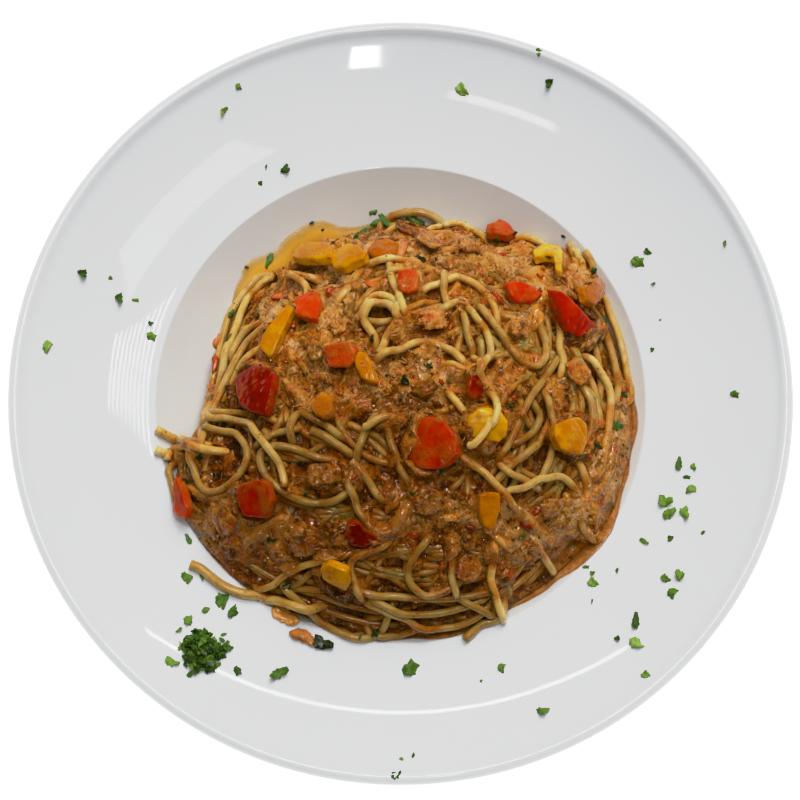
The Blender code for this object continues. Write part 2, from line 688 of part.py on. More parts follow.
# ---------------------------------------------------------------- parsley heap
def add_parsley_heap(collection, material):
    """A pinch of chopped parsley on the rim: a low mound with leaf bits standing out of it."""
    draw = random.Random(LEAF_SEED)
    x, y = place_on(plate_height, PARSLEY_HEAP, PARSLEY_HEAP_HEIGHT / 2)
    bm = bmesh.new()
    bmesh.ops.create_icosphere(bm, subdivisions=2, radius=1.0)
    for vert in bm.verts:
        ragged = draw.uniform(0.86, 1.06)
        spot = Vector((x, y)) + vert.co.xy * PARSLEY_HEAP_RADIUS * ragged
        rise = max(0.0, vert.co.z) * PARSLEY_HEAP_HEIGHT * ragged
        vert.co = (spot.x, spot.y, plate_height(spot.x, spot.y) + BED_GAP + rise)
    mound = new_object("parsley_heap", bm, material, collection)
    leaves = new_collection("heap_leaves")
    for index in range(PARSLEY_HEAP_LEAVES):
        angle = math.tau * index / PARSLEY_HEAP_LEAVES
        low = index % 2
        reach = PARSLEY_HEAP_RADIUS * (0.85 if low else 0.45)
        rise = PARSLEY_HEAP_HEIGHT * (0.55 if low else 0.95)
        leaf = flake_mesh(*HEAP_LEAF, 6, FLAKE_THICKNESS, draw)
        spot = Vector((x + reach * math.cos(angle), y + reach * math.sin(angle)))
        lean = Matrix.Rotation(draw.uniform(-0.35, 0.35), 4, "X")
        spin = Matrix.Rotation(draw.uniform(0, math.tau), 4, "Z")
        lift = Matrix.Translation((spot.x, spot.y, plate_height(spot.x, spot.y) + rise))
        bmesh.ops.transform(leaf, matrix=lift @ spin @ lean, verts=leaf.verts)
        new_object("leaf", leaf, material, leaves)
    fuse(mound, leaves, "MANIFOLD")


def main():
    clear_scene()
    dish = new_collection("tuna_pasta")
    pasta = new_material("pasta", PASTA)
    green = new_material("parsley", PARSLEY_GREEN)
    red = new_material("red_pepper", RED_FLESH)
    yellow = new_material("yellow_pepper", YELLOW_FLESH)
    plate = add_plate(dish, new_material("porcelain", PORCELAIN))
    add_rim_parsley(plate, green)
    sauce = add_sauce(dish, new_material("sauce", SAUCE))
    core = add_core(dish, pasta)
    tree = solid_tree(core)
    core_points = [vert.co.copy() for vert in core.data.vertices]
    toppings = add_peppers("red_pepper", RED_PEPPER, tree, core_points, dish, red)
    toppings += add_peppers("yellow_pepper", YELLOW_PEPPER, tree, core_points, dish, yellow)
    toppings += add_tuna(tree, core_points, dish, new_material("tuna", TUNA_FLESH))
    add_strands(core, toppings, [plate, sauce], pasta)
    add_parsley_heap(dish, green)


main()
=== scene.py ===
"""The finish of a plate of tuna pasta: glazed porcelain, sauced spaghetti, peppers and parsley.

Units are metres and +Z is up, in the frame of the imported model. Routes and places of food are
points of the photograph, an 800 by 800 picture, laid on the heap or on the plate by place_on().
A route or an outline is written as its points, "x,y x,y", and read by spots().
"""

import math
import random

import bpy
import numpy as np
from mathutils import Matrix, Vector, noise
from mathutils.bvhtree import BVHTree
from mathutils.kdtree import KDTree


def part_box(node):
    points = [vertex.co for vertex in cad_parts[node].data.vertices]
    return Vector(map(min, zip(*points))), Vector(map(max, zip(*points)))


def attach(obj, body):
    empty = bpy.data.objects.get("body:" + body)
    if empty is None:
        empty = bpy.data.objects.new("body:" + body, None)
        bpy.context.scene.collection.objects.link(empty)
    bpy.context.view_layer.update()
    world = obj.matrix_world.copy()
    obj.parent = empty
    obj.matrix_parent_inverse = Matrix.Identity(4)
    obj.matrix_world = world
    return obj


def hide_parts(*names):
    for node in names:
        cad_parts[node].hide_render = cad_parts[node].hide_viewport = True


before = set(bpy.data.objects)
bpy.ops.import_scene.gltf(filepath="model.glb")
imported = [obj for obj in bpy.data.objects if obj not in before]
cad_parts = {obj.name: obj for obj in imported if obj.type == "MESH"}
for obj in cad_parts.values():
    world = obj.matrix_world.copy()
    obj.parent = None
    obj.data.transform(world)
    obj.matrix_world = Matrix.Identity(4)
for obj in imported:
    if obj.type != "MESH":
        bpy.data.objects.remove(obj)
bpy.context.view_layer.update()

MM = 0.001
TURN = 2 * math.pi

# ---------------------------------------------------------------- plate and heap
PLATE_RADIUS = 0.135
LIP_HEIGHT = 0.042
WELL_RADIUS = 0.0855
WELL_HEIGHT = 0.027
FLOOR_RADIUS = 0.040
FLOOR_HEIGHT = 0.0065
RIM_END_RADIUS = 0.1305
RIM_END_HEIGHT = 0.0402
PLATE_WALL = 0.0046
FOOT_OUTER = 0.050
FOOT_INNER = 0.046
FOOT_RECESS = 0.0023
PLATE_SEGMENTS = 192
FIRST_RING = 0.020
# The lip's round section: how far each point is in from the edge and down from the top.
LIP_ROUND = [
    (0.0036, 0.0004), (0.0026, 0.0), (0.0016, 0.00015), (0.0008, 0.0007), (0.0002, 0.0015), (0.0, 0.0024),
    (0.0002, 0.0033), (0.0010, 0.0043),
]

HEAP_CENTRE = np.array((0.004, -0.006))
CORE_HEIGHT = 0.0553
CORE_INSET = 0.0020
CORE_EDGE = 0.0012
LUMP_HEIGHT = 0.0009
STRAND_RADIUS = 0.00135
HEAP_CEILING = 0.0643
FOOD_CEILING = 0.0650
SAUCE_INNER = 0.050
SAUCE_TUCK = 0.0055
SAUCE_SPREADS = [(134, 11, 0.0114), (117.5, 8, 0.0106), (178, 30, -0.0010), (322, 16, 0.0046), (350, 14, 0.0022)]
OIL_BEARING = 126
OIL_WIDTH = 24
HEAP_OUTLINE_MM = [
    (82, 0), (79, 15), (73, 30), (70, 44), (62, 54), (49, 58), (30, 65), (16, 67), (0, 71),
    (-18, 66), (-32, 58), (-44, 50), (-55, 41), (-61, 32), (-66, 20), (-69, 6), (-73, -9),
    (-80, -22), (-78, -38), (-71, -50), (-60, -62), (-44, -73), (-24, -81), (0, -84),
    (22, -82), (42, -72), (60, -58), (70, -48), (77, -34), (82, -16),
]

# ---------------------------------------------------------------- how the photograph looks on
VIEW_ELEVATION = math.radians(76)
VIEW_DISTANCE = 1.0
PIXELS_PER_SLOPE = 2914.0
VIEW_CENTRE = (400.6, 389.7)
PICTURE = 800
SENSOR_MM = 36.0
BACK = np.array((0, -math.cos(VIEW_ELEVATION), math.sin(VIEW_ELEVATION)))
UP = np.array((0, math.sin(VIEW_ELEVATION), math.cos(VIEW_ELEVATION)))
EYE = np.array((0, 0, LIP_HEIGHT)) + BACK * VIEW_DISTANCE
PIXEL = 0.000343

# ---------------------------------------------------------------- strands, from the lowest to the highest
# Each has its centre's height over the bare heap in mm, how far drained sauce stains it and painted shade darkens it,
# 0 to 1, and its route. Its ends dive into the sauce, apart from those that lie cut off in sight.
# Strands whose start, or end, is a cut one in sight.
CUT_STARTS = {
    "north_east_tip", "north_east_end", "north_east_edge", "left_stub_low", "left_stub_turn", "left_stub_high",
    "centre_cut", "middle_cut", "upper_short", "lean_south", "south_stub", "short_strip", "rim_strand",
}
CUT_ENDS = {
    "pale_strand", "lower_left_short", "crown_end", "short_beside", "middle_short", "pepper_hook", "east_edge",
    "south_tail", "short_strip",
}
STRANDS = {
    "far_rim": (-0.4, 0.6, "390,218 398,214 410,212 423,213 435,218 443,225"),
    "left_rim": (0.0, 0.8, "170,468 171,480 174,492 178,503"),
    "east_sunk": (0.2, 0.7, "614,440 613,458 608,476 598,490"),
    "east_low": (0.4, 0.2, "583,472 587,486 587,498 585,508"),
    "far_low": (0.4, 0.0, "520,238 532,239 543,245"),
    "far_short": (0.8, 0.0, "505,250 518,248 532,251"),
    "far_arc": (0.6, 0.0, "438,228 450,223 464,225 477,233"),
    "far_wide": (0.8, 0.0, "434,234 448,234 460,241 467,251"),
    "north_east_tip": (0.6, 0.2, "569,243 573,253 575,264"),
    "north_east_end": (0.9, 0.0, "577,250 580,262 584,275"),
    "north_east_edge": (0.6, 0.3, "585,251 590,259 593,270"),
    "right_outer": (0.5, 0.2, "603,297 610,314 617,331 623,352 628,379 631,395"),
    "right_wide": (0.9, 0.6, "575,284 583,298 593,310 601,322 606,335 611,350 615,366 618,386 616,400"),
    "east_mid": (0.8, 0.6, "586,392 591,402 592,418 590,434 586,448"),
    "left_outer": (0.6, 0.2, "262,276 248,288 236,304 228,318 223,337 219,357 214,380 208,405 202,428"),
    "left_low": (0.7, 0.0, "268,343 255,352 241,366 233,380 224,398 214,420 203,440"),
    "left_bridge": (0.8, 0.2, "262,322 247,330 238,341 232,352"),
    "left_arc": (1.2, 0.1, "306,276 284,274 268,278 257,287 249,298 241,312 236,328 231,345 222,372 216,392 208,412"),
    "left_diagonal": (1.2, 0.3, "289,306 271,320 257,332 247,342 238,356 229,373 222,392 212,414 203,438 199,448"),
    "left_turn": (1.0, 0.0, "288,280 299,281 306,288 306,299"),
    "left_stub_low": (0.8, 0.0, "156,450 164,453 172,451 182,448"),
    "left_stub_turn": (1.0, 0.0, "167,460 169,453 175,449 184,446"),
    "left_stub_high": (1.2, 0.0, "157,430 167,435 178,441 190,446 201,446"),
    "left_level": (0.7, 0.5, "226,413 244,413 262,417"),
    "left_short": (0.5, 0.0, "181,489 189,488 197,491"),
    "centre_low": (0.4, 0.9, "262,441 275,434 290,430"),
    "upper_thin": (0.6, 0.4, "290,387 299,396 309,406"),
    "west_ring": (0.9, 1.0, "324,459 308,454 291,448 275,446 263,451 260,461 264,472 273,483 288,495 304,501 "
        "322,503 338,499 350,491"),
    "west_circle": (1.0, 0.8, "222,432 236,433 245,445 247,459 241,472 230,484 215,492 203,488 196,478 193,466"),
    "pale_strand": (1.6, 0.5, "218,419 232,421 247,424 259,436 273,453 281,468 284,487"),
    "centre_arch": (0.9, 0.9, "290,429 293,419 301,414 313,417 325,425 334,432"),
    "centre_cut": (1.0, 1.0, "311,430 322,435 334,442 345,450"),
    "lower_left_short": (0.8, 0.6, "252,538 262,528 272,522 284,518"),
    "middle_loop": (0.9, 1.0, "372,420 366,431 359,447 353,467 350,487 356,507 369,524 382,534 393,529 401,516"),
    "middle_cut": (1.1, 0.8, "350,460 358,468 367,479 375,492"),
    "centre_right": (0.9, 1.0, "385,422 390,437 395,452 400,469 408,481"),
    "crown_base": (0.8, 0.5, "366,320 375,322 384,322 393,320"),
    "crown_low": (0.9, 0.0, "364,309 369,300 379,295 390,298 398,304 402,311"),
    "crown_coil": (1.5, 0.3, "371,333 367,324 365,314 368,306 377,302 387,304 394,309 398,316"),
    "crown_drop": (1.2, 0.2, "389,263 392,275 396,289 402,304"),
    "crown_end": (1.4, 0.3, "397,318 393,327 388,336 383,346 379,354"),
    "crown_arc": (1.3, 0.2, "388,352 400,348 416,343 433,343 449,349 460,358 468,368"),
    "north_line": (0.7, 0.0, "398,270 416,269 432,271 449,277"),
    "upper_bow": (0.8, 0.0, "352,284 358,274 366,265 382,261 400,260 413,263"),
    "upper_short": (1.1, 0.0, "321,321 333,307 346,291"),
    "north_arc": (1.2, 0.0, "430,286 445,281 458,278 470,281 482,289 491,302 496,314"),
    "east_start": (0.7, 0.3, "444,285 445,296 448,306"),
    "east_behind": (0.5, 0.6, "463,312 466,326 470,341"),
    "short_beside": (0.9, 0.0, "452,365 463,367 477,368"),
    "middle_short": (1.0, 0.0, "440,384 449,393 457,403 465,412"),
    "pepper_hook": (1.0, 0.1, "479,368 482,377 489,391 493,406 490,425 480,438 469,444"),
    "east_arc": (1.5, 0.3, "447,306 456,303 467,307 476,318 485,329 490,345 489,358 480,370"),
    "u_loop": (1.4, 0.5, "483,310 491,320 503,336 513,351 525,363 538,365 546,356 546,343 541,328 538,313"),
    "lean_beside": (0.3, 1.0, "534,404 540,416 535,430 522,440 511,444"),
    "lean_east": (0.9, 0.8, "556,362 546,376 536,390 528,403 521,418 512,436 504,451"),
    "east_long": (1.1, 0.3, "493,259 506,267 519,273 532,280 542,289 552,302 558,317 560,334 560,350 561,372"),
    "east_edge": (1.3, 0.1, "594,362 599,370 607,383 611,398 610,415 607,435 604,452 602,465 598,475"),
    "east_drop": (1.0, 0.6, "549,404 553,420 554,437 551,455 545,470 540,481"),
    "lean_south": (1.0, 0.8, "539,444 526,454 511,465 497,480"),
    "s_short": (0.7, 0.6, "511,473 521,478 531,483"),
    "s_curve": (1.2, 0.4, "500,497 511,491 528,485 544,478 558,476 570,483 577,493 579,507 580,522 588,536 600,540"),
    "diagonal": (1.6, 0.4, "463,458 478,468 492,480 504,493 515,507 530,522 546,538"),
    "south_small": (1.0, 0.0, "451,518 465,519 478,524 492,534 502,542"),
    "east_short": (0.9, 0.4, "539,548 545,560 552,572"),
    "south_west_lean": (0.9, 0.5, "256,587 273,584 284,576 304,566 326,559 345,555"),
    "south_arc": (0.8, 0.8, "290,594 300,603 311,613 327,626 343,634 360,639 375,637 384,627 388,617"),
    "south_outer": (0.4, 0.9, "378,636 392,636 405,633 418,629"),
    "south_low": (0.7, 0.7, "372,606 388,612 405,619 418,626 432,629 454,627 470,621 483,613"),
    "south_line_low": (0.8, 1.0, "378,601 392,606 408,612 427,614 449,611 470,605 482,600"),
    "south_line": (1.0, 1.0, "345,588 360,591 383,595 416,598 448,598 470,596 488,592"),
    "south_tip": (0.6, 1.0, "474,607 484,611 494,615"),
    "south_stub": (1.0, 0.8, "465,639 474,631 484,623 497,614"),
    "south_tail": (1.4, 0.0, "494,556 492,570 492,584 497,604 503,619"),
    "south_hook": (1.2, 0.9, "424,544 415,554 409,571 412,585 424,594 438,593 450,588"),
    "south_inner": (0.5, 0.7, "452,548 452,566 453,582"),
    "short_rise": (0.9, 0.8, "356,588 350,574 353,560 365,553 381,547"),
    "short_strip": (1.3, 0.6, "364,427 377,421 396,417"),
    "rim_strand": (1.3, 0.4, "190,564 200,568 211,577 224,586 241,593 256,596 274,600 293,605 306,610"),
}
# Strands that are thicker than the rest, by how much.
WIDE_STRANDS = {
    "crown_low": 1.06, "crown_coil": 1.10, "crown_drop": 1.04, "crown_end": 1.08, "crown_arc": 1.04,
    "centre_cut": 1.10, "pale_strand": 1.04, "rim_strand": 1.22, "left_stub_low": 1.10, "left_stub_turn": 1.10,
    "left_stub_high": 1.10, "upper_short": 1.10, "left_arc": 1.06, "south_stub": 1.08, "far_wide": 1.05,
    "far_rim": 1.12,
}
FILLERS = 112
FILLER_POINTS = 6
FILLER_TOP = -0.0012
STRAND_STEP = 0.0012
DIVE_LENGTH = 0.0085
DIVE_DEPTH = 0.0060
# How far apart the middles of two strands lie where they cross.
CROSSING = 1.9 * STRAND_RADIUS

# Where sauce lies over the strands (above 0) or they lie bare (below): point, spread across and down, weight.
SAUCE_ZONES = [
    (420, 245, 60, 22, 1.0), (345, 272, 35, 22, 0.6), (490, 262, 40, 22, 0.7), (545, 275, 30, 25, 0.7),
    (350, 393, 55, 20, 1.0), (440, 385, 30, 18, 0.6), (330, 320, 30, 22, 0.5), (500, 390, 25, 20, 0.4),
    (570, 400, 22, 28, 0.3), (560, 520, 45, 25, 0.8), (505, 530, 25, 20, 0.6), (415, 510, 45, 28, 1.0),
    (300, 545, 45, 22, 0.9), (225, 522, 40, 28, 0.9), (198, 450, 14, 20, 0.5), (330, 475, 32, 13, 0.9),
    (470, 565, 25, 18, 0.5), (270, 385, 18, 28, 0.3), (440, 440, 30, 22, 0.5), (305, 347, 30, 18, 0.5),
    (626, 428, 12, 50, 1.2), (606, 505, 18, 30, 1.2), (525, 320, 20, 14, 0.4), (240, 335, 30, 60, -1.0),
    (222, 420, 28, 22, -0.6), (300, 440, 60, 20, -0.8), (378, 480, 22, 32, -0.3), (430, 602, 110, 22, -0.4),
    (300, 602, 50, 20, -0.3), (268, 312, 20, 22, 1.4), (590, 370, 24, 60, -0.8), (540, 432, 30, 36, -0.7),
    (480, 345, 24, 24, -0.5), (520, 482, 34, 13, -0.6), (385, 300, 24, 24, -0.4), (560, 340, 18, 28, -0.5),
]
# Where the sauce lies smooth: photograph point, spread across and down.
CALM_ZONES = [(628, 440, 26, 84), (606, 504, 23, 38), (570, 556, 34, 18)]
SAUCE_LOW = -0.0036
SAUCE_HIGH = 0.0009

# Hollows between the strands, dark by their depth and by the painted shade that follows the sauce's rise: photograph
# point, radius in pixels, depth in mm.
HOLLOWS = [
    (300, 466, 8, 3.4), (363, 506, 6, 3.0), (353, 426, 6, 2.6), (295, 437, 4, 2.0), (338, 511, 8, 2.4),
    (230, 447, 9, 3.0), (382, 509, 9, 2.2), (513, 482, 6, 3.2), (452, 526, 6, 2.6), (436, 545, 10, 3.8),
    (463, 433, 4, 2.0), (508, 451, 5, 2.4), (563, 460, 7, 3.0), (561, 491, 6, 2.4), (458, 252, 5, 2.4),
    (526, 344, 8, 2.6), (432, 320, 8, 2.2), (256, 318, 5, 2.0), (304, 323, 5, 2.0), (340, 369, 4, 1.8),
    (555, 509, 6, 3.2), (367, 561, 6, 2.8), (432, 552, 8, 2.8), (475, 584, 6, 2.8), (487, 602, 5, 2.6),
    (483, 616, 5, 2.6), (391, 627, 5, 2.2), (360, 620, 8, 1.8), (575, 548, 9, 2.6), (310, 573, 5, 2.4),
    (250, 575, 7, 1.6), (212, 541, 7, 2.0), (530, 372, 6, 1.6), (400, 400, 8, 1.6), (270, 505, 5, 2.0),
]

# ---------------------------------------------------------------- peppers
# Each piece's face as photograph points, thickness in mm, the bearing it leans to and how far, then its
# hue, 0 the darkest and 1 the brightest of its kind, and how much sauce lies on it.
PEPPERS = {
    "red_pepper_01": ("233,376 243,370 254,364 265,366 273,372 272,386 268,401 263,413 "
        "250,411 239,405 236,392", 4.0, 250, 12, 0.15, 0.3),
    "red_pepper_02": ("294,297 305,292 317,291 320,303 315,319 304,317 295,313", 4.0, 0, 0, 0.88, 0.58),
    "red_pepper_03": ("322,346 335,342 349,341 354,350 353,361 348,368 337,367 327,366", 3.8, 250, 10, 0.75, 0.85),
    "red_pepper_04": ("420,418 431,415 442,421 455,435 455,452 446,463 433,469 416,467 "
        "406,457 411,440", 5.0, 215, 16, 0.7, 0.6),
    "red_pepper_05": ("556,290 562,291 570,297 580,308 590,318 599,327 592,333 580,337 "
        "570,333 564,322 559,308", 4.6, 228, 18, 0.5, 0.15),
    "red_pepper_06": ("507,282 521,280 533,286 544,293 532,303 518,302 511,294", 3.6, 300, 10, 0.72, 0.5),
    "red_pepper_07": ("235,488 246,483 257,480 267,484 273,501 267,519 254,518 242,516 "
        "237,504", 4.2, 250, 14, 0.45, 0.75),
    "red_pepper_08": ("174,478 179,486 183,497 187,511 185,520 176,517 171,512 174,499 "
        "172,487", 3.4, 200, 10, 0.8, 0.6),
    "red_pepper_09": ("344,539 349,526 359,524 369,533 379,541 366,549 351,547", 3.6, 270, 16, 0.1, 0.4),
    "red_pepper_10": ("398,270 413,268 420,276 418,289 408,293 399,291 397,281", 3.4, 0, 0, 0.75, 0.92),
    "red_pepper_11": ("470,377 478,374 484,384 483,395 475,400 468,392", 3.4, 270, 10, 0.1, 0.5),
    "red_pepper_12": ("499,218 508,222 516,231 507,235 497,233 486,231 487,224 495,222", 3.6, 90, 6, 0.42, 0.85),
    "yellow_pepper_01": ("285,302 293,305 288,320 281,335 274,350 268,356 258,346 262,335 "
        "273,320", 3.8, 330, 8, 0.55, 0.2),
    "yellow_pepper_02": ("291,246 303,242 319,241 330,244 330,254 318,258 300,259 291,256", 3.8, 270, 8, 0.46, 0.1),
    "yellow_pepper_03": ("326,257 336,248 347,242 358,244 364,250 362,257 352,262 343,267 "
        "333,267", 3.8, 250, 8, 0.58, 0.05),
    "yellow_pepper_04": ("354,352 361,350 367,353 373,366 378,382 370,382 362,378 355,366", 3.6, 250, 14, 0.42, 0.45),
    "yellow_pepper_05": ("532,249 540,244 552,242 561,245 563,250 561,266 555,266 553,256 "
        "545,254 534,256", 3.6, 270, 6, 0.85, 0.25),
    "yellow_pepper_06": ("585,286 593,279 604,276 607,286 603,297 597,305 589,300", 3.6, 20, 5, 0.05, 0.6),
    "yellow_pepper_07": ("468,418 477,409 489,407 501,412 509,423 507,436 495,447 481,443 "
        "469,435 466,426", 4.0, 280, 8, 0.82, 0.3),
    "yellow_pepper_08": ("557,424 568,419 580,416 588,423 588,440 584,454 572,453 "
        "561,448 556,437", 4.0, 320, 12, 0.55, 0.55),
    "yellow_pepper_09": ("480,495 490,492 501,494 501,509 497,522 493,531 484,526 480,513", 3.8, 270, 14, 0.4, 0.4),
    "yellow_pepper_10": ("319,570 326,564 338,568 348,572 351,582 346,593 334,587 323,580", 3.8, 270, 12, 0.8, 0.25),
    "yellow_pepper_11": ("310,404 317,396 325,391 332,399 331,411 322,416 313,411", 3.6, 250, 12, 0.3, 0.65),
    "yellow_pepper_12": ("366,248 376,240 389,238 398,242 394,252 382,256 371,254", 3.4, 270, 6, 0.0, 1.0),
}
# The strand that runs over a pepper piece instead of under it.
OVER = {"pepper_hook": "yellow_pepper_07", "diagonal": "yellow_pepper_09"}

# Tuna flakes: photograph point, length, width, thickness in mm, turn in degrees.
TUNA = [
    (428, 238, 13.0, 8.5, 5.0, -20), (470, 245, 9.0, 7.0, 4.5, 10), (520, 325, 9.5, 7.2, 4.8, 75),
    (315, 350, 7.0, 6.0, 4.5, 30), (432, 318, 13.0, 8.5, 5.2, 15), (428, 500, 12.0, 9.0, 5.2, -10),
    (305, 540, 12.5, 9.5, 5.5, 10), (322, 474, 12.5, 7.5, 4.8, 5), (225, 520, 11.0, 8.0, 5.0, -50),
    (552, 508, 9.0, 7.0, 4.8, -60), (468, 566, 11.0, 8.5, 4.8, -15), (578, 370, 11.0, 8.0, 4.8, -40),
]

# Rows of fibres side by side in a flake.
FIBRE_ROWS = 7

# ---------------------------------------------------------------- parsley
# On the rim: photograph point, length and width in mm, turn in degrees.
RIM_PARSLEY = [
    (170, 662, 7.4, 4.2, -35), (188, 622, 5.6, 4.8, 60), (221, 600, 7.6, 6.0, -20), (232, 613, 8.0, 3.0, 55),
    (237, 670, 4.8, 3.4, -50), (186, 577, 7.4, 3.6, -35), (277, 675, 6.4, 5.4, -60), (409, 671, 8.0, 6.6, 80),
    (501, 668, 4.2, 3.4, 10), (542, 712, 7.8, 3.0, -5), (395, 776, 5.4, 4.0, 0), (645, 675, 4.8, 3.2, 35),
    (636, 624, 7.6, 4.2, 80), (635, 643, 7.0, 5.0, -70), (681, 577, 6.4, 2.8, 65), (672, 593, 5.4, 3.8, -10),
    (592, 583, 5.4, 4.0, 40), (643, 541, 4.6, 2.8, -40), (664, 503, 7.2, 5.6, 80), (668, 515, 6.4, 5.4, 20),
    (684, 513, 5.8, 5.0, 20), (691, 489, 4.6, 3.8, -60), (679, 466, 6.0, 3.8, 75), (734, 394, 4.4, 3.4, 0),
    (636, 262, 6.2, 5.4, 20), (538, 51, 4.6, 3.8, -80), (549, 82, 4.8, 4.2, -30), (461, 90, 6.4, 5.6, 30),
    (284, 170, 6.6, 3.0, 45), (81, 273, 6.6, 3.6, -10), (118, 298, 5.2, 4.6, 0), (150, 336, 5.0, 4.0, 0),
    (46, 346, 5.2, 4.4, -10), (205, 611, 4.4, 3.2, 30), (201, 575, 2.6, 3.6, 10), (178, 631, 5.6, 1.4, 40),
    (223, 635, 3.4, 1.8, 20), (481, 681, 1.6, 1.1, 0), (413, 756, 3.6, 1.0, 75), (401, 759, 2.4, 1.5, 20),
    (357, 773, 1.7, 1.2, 0), (617, 639, 3.8, 2.6, 10), (665, 579, 4.2, 3.6, 60), (585, 567, 3.4, 1.6, 10),
    (592, 602, 3.6, 0.9, 80), (617, 571, 2.0, 1.3, 0), (670, 539, 3.8, 2.2, 75), (703, 533, 2.6, 1.8, 30),
    (693, 467, 3.4, 2.8, 30), (686, 477, 3.8, 1.8, 0), (652, 350, 2.8, 1.5, 80), (660, 320, 1.4, 1.0, 0),
    (653, 284, 3.4, 1.1, 15), (647, 252, 3.6, 3.0, 40), (725, 243, 2.2, 2.6, 0), (238, 87, 3.4, 2.4, 45),
    (223, 111, 3.8, 2.6, -30), (266, 167, 1.6, 1.2, 0), (260, 183, 2.8, 1.8, 0), (110, 278, 2.4, 1.6, 30),
    (135, 300, 4.4, 1.4, 0), (150, 323, 3.2, 1.6, -20), (592, 574, 3.2, 2.2, 80), (198, 660, 5.0, 4.0, 20),
]
PARSLEY_HEAP = (202, 652)
PARSLEY_HEAP_RADIUS = 0.0075
PARSLEY_HEAP_HEIGHT = 0.0048
PARSLEY_HEAP_LEAVES = 150
# On the pasta: photograph point, length and width in mm, turn, and how bright, 0 to 1.
TOP_PARSLEY = [
    (268, 262, 7.0, 3.0, 75, 0.8), (384, 220, 8.0, 4.6, -60, 0.7), (364, 232, 8.6, 5.2, 20, 0.6),
    (374, 224, 5.0, 3.0, 15, 0.8), (392, 230, 7.6, 3.8, -10, 0.8), (412, 219, 7.6, 4.4, -15, 0.9),
    (372, 213, 4.0, 2.6, 20, 0.7), (401, 227, 4.6, 3.0, 0, 0.7), (356, 238, 4.6, 2.2, 60, 0.4),
    (230, 315, 3.6, 2.2, 80, 0.6), (228, 339, 3.6, 2.0, 50, 0.6), (616, 426, 5.2, 3.8, 40, 0.7),
    (589, 524, 4.2, 3.6, -20, 0.9), (510, 580, 4.6, 2.8, -60, 0.5), (491, 592, 3.2, 1.3, -40, 0.6),
    (188, 538, 4.8, 2.6, -60, 0.8), (212, 539, 4.6, 3.4, 0, 0.1), (198, 458, 3.8, 3.2, 10, 0.2),
    (184, 480, 3.4, 2.6, 0, 0.1), (404, 381, 3.6, 2.8, 60, 0.1), (510, 405, 3.8, 2.4, 10, 0.2),
    (526, 428, 3.6, 2.8, -30, 0.2), (463, 436, 5.0, 2.0, 85, 0.1), (441, 473, 4.6, 2.4, 60, 0.1),
    (452, 466, 3.2, 1.8, 80, 0.1), (412, 493, 2.6, 2.0, 0, 0.4), (336, 483, 2.8, 2.2, 50, 0.2),
    (376, 477, 2.4, 2.0, 30, 0.2), (379, 486, 3.4, 2.8, -30, 0.2), (270, 540, 4.6, 3.2, 20, 0.1),
    (285, 587, 4.4, 2.6, 20, 0.1), (374, 635, 3.6, 2.0, 10, 0.3), (360, 638, 3.4, 1.2, 60, 0.6),
    (420, 575, 3.2, 2.6, 20, 0.3), (430, 619, 4.6, 1.6, -10, 0.3), (597, 341, 4.0, 1.7, 80, 0.1),
    (565, 397, 2.6, 2.2, 0, 0.1), (575, 417, 4.0, 2.0, -40, 0.1), (623, 395, 3.2, 2.4, 30, 0.3),
    (602, 316, 5.6, 2.0, -55, 0.4), (596, 444, 4.4, 3.0, 0, 0.2), (520, 537, 3.2, 3.0, 60, 0.5),
    (514, 327, 4.0, 1.7, -20, 0.1), (420, 258, 5.0, 2.6, -30, 0.1), (428, 366, 2.8, 2.6, 0, 0.2),
    (404, 382, 3.0, 2.6, 0, 0.1), (372, 340, 2.0, 4.6, 0, 0.1), (303, 322, 5.6, 2.8, 10, 0.1),
    (343, 369, 4.0, 1.8, 0, 0.1), (306, 374, 3.8, 4.6, 0, 0.1), (387, 376, 2.6, 1.8, 0, 0.0),
    (563, 236, 1.8, 1.4, 0, 0.1), (496, 240, 2.4, 2.6, 60, 0.1), (514, 234, 2.6, 2.0, 60, 0.2),
    (451, 228, 2.2, 2.2, 0, 0.0), (548, 257, 3.0, 1.2, 0, 0.2), (588, 284, 3.4, 2.0, 10, 0.3),
    (593, 272, 3.2, 3.0, 40, 0.3), (311, 223, 2.2, 1.6, 30, 0.2), (322, 230, 1.4, 1.2, 0, 0.1),
    (246, 267, 1.6, 1.2, 0, 0.1), (333, 243, 2.0, 2.0, 0, 0.1), (265, 331, 2.2, 1.8, 20, 0.1),
]
# Tomato in the sauce: photograph point, length and width in mm, turn, and tone from dark red to pale.
TOMATO = [
    (498, 298, 5.6, 4.0, -60, 0.45), (526, 526, 6.0, 2.6, -50, 0.20), (401, 250, 8.6, 4.0, 80, 0.98),
    (376, 283, 7.0, 5.6, 20, 0.80), (280, 297, 6.4, 4.0, 10, 0.75), (217, 341, 5.0, 3.0, 70, 0.98),
    (215, 364, 6.0, 2.8, 85, 0.55), (470, 527, 3.6, 2.4, 0, 0.5), (412, 535, 5.0, 3.6, 10, 0.6),
    (330, 290, 3.4, 2.2, 40, 0.5), (455, 296, 4.2, 2.6, 60, 0.6), (536, 512, 3.6, 2.0, 30, 0.4),
]
SAUCE_DROP = "287,630 296,628 306,630 314,637 317,647 311,648 306,644 296,641 288,637"
SAUCE_DROP_LEAF = (320, 645, 8.6, 8.2, 70)
ONION_SCRAP = "269,605 271,622 287,624 289,630 298,628 302,620 290,612 281,606"

# ---------------------------------------------------------------- loose shreds in the sauce
SHREDS = 3800
CRUMBS = 2600
CURDS = 900
CHUNKS = 74
TOMATO_SCRAPS = 110
HERB_FLECKS = 330
STRAND_CRUMBS = 900


# ---------------------------------------------------------------- forms shared with the solids
def spots(written):
    """The points of a written route or outline."""
    return np.array([pair.split(",") for pair in written.split()], float)


def unit(vectors):
    return vectors / np.linalg.norm(vectors, axis=-1, keepdims=True)


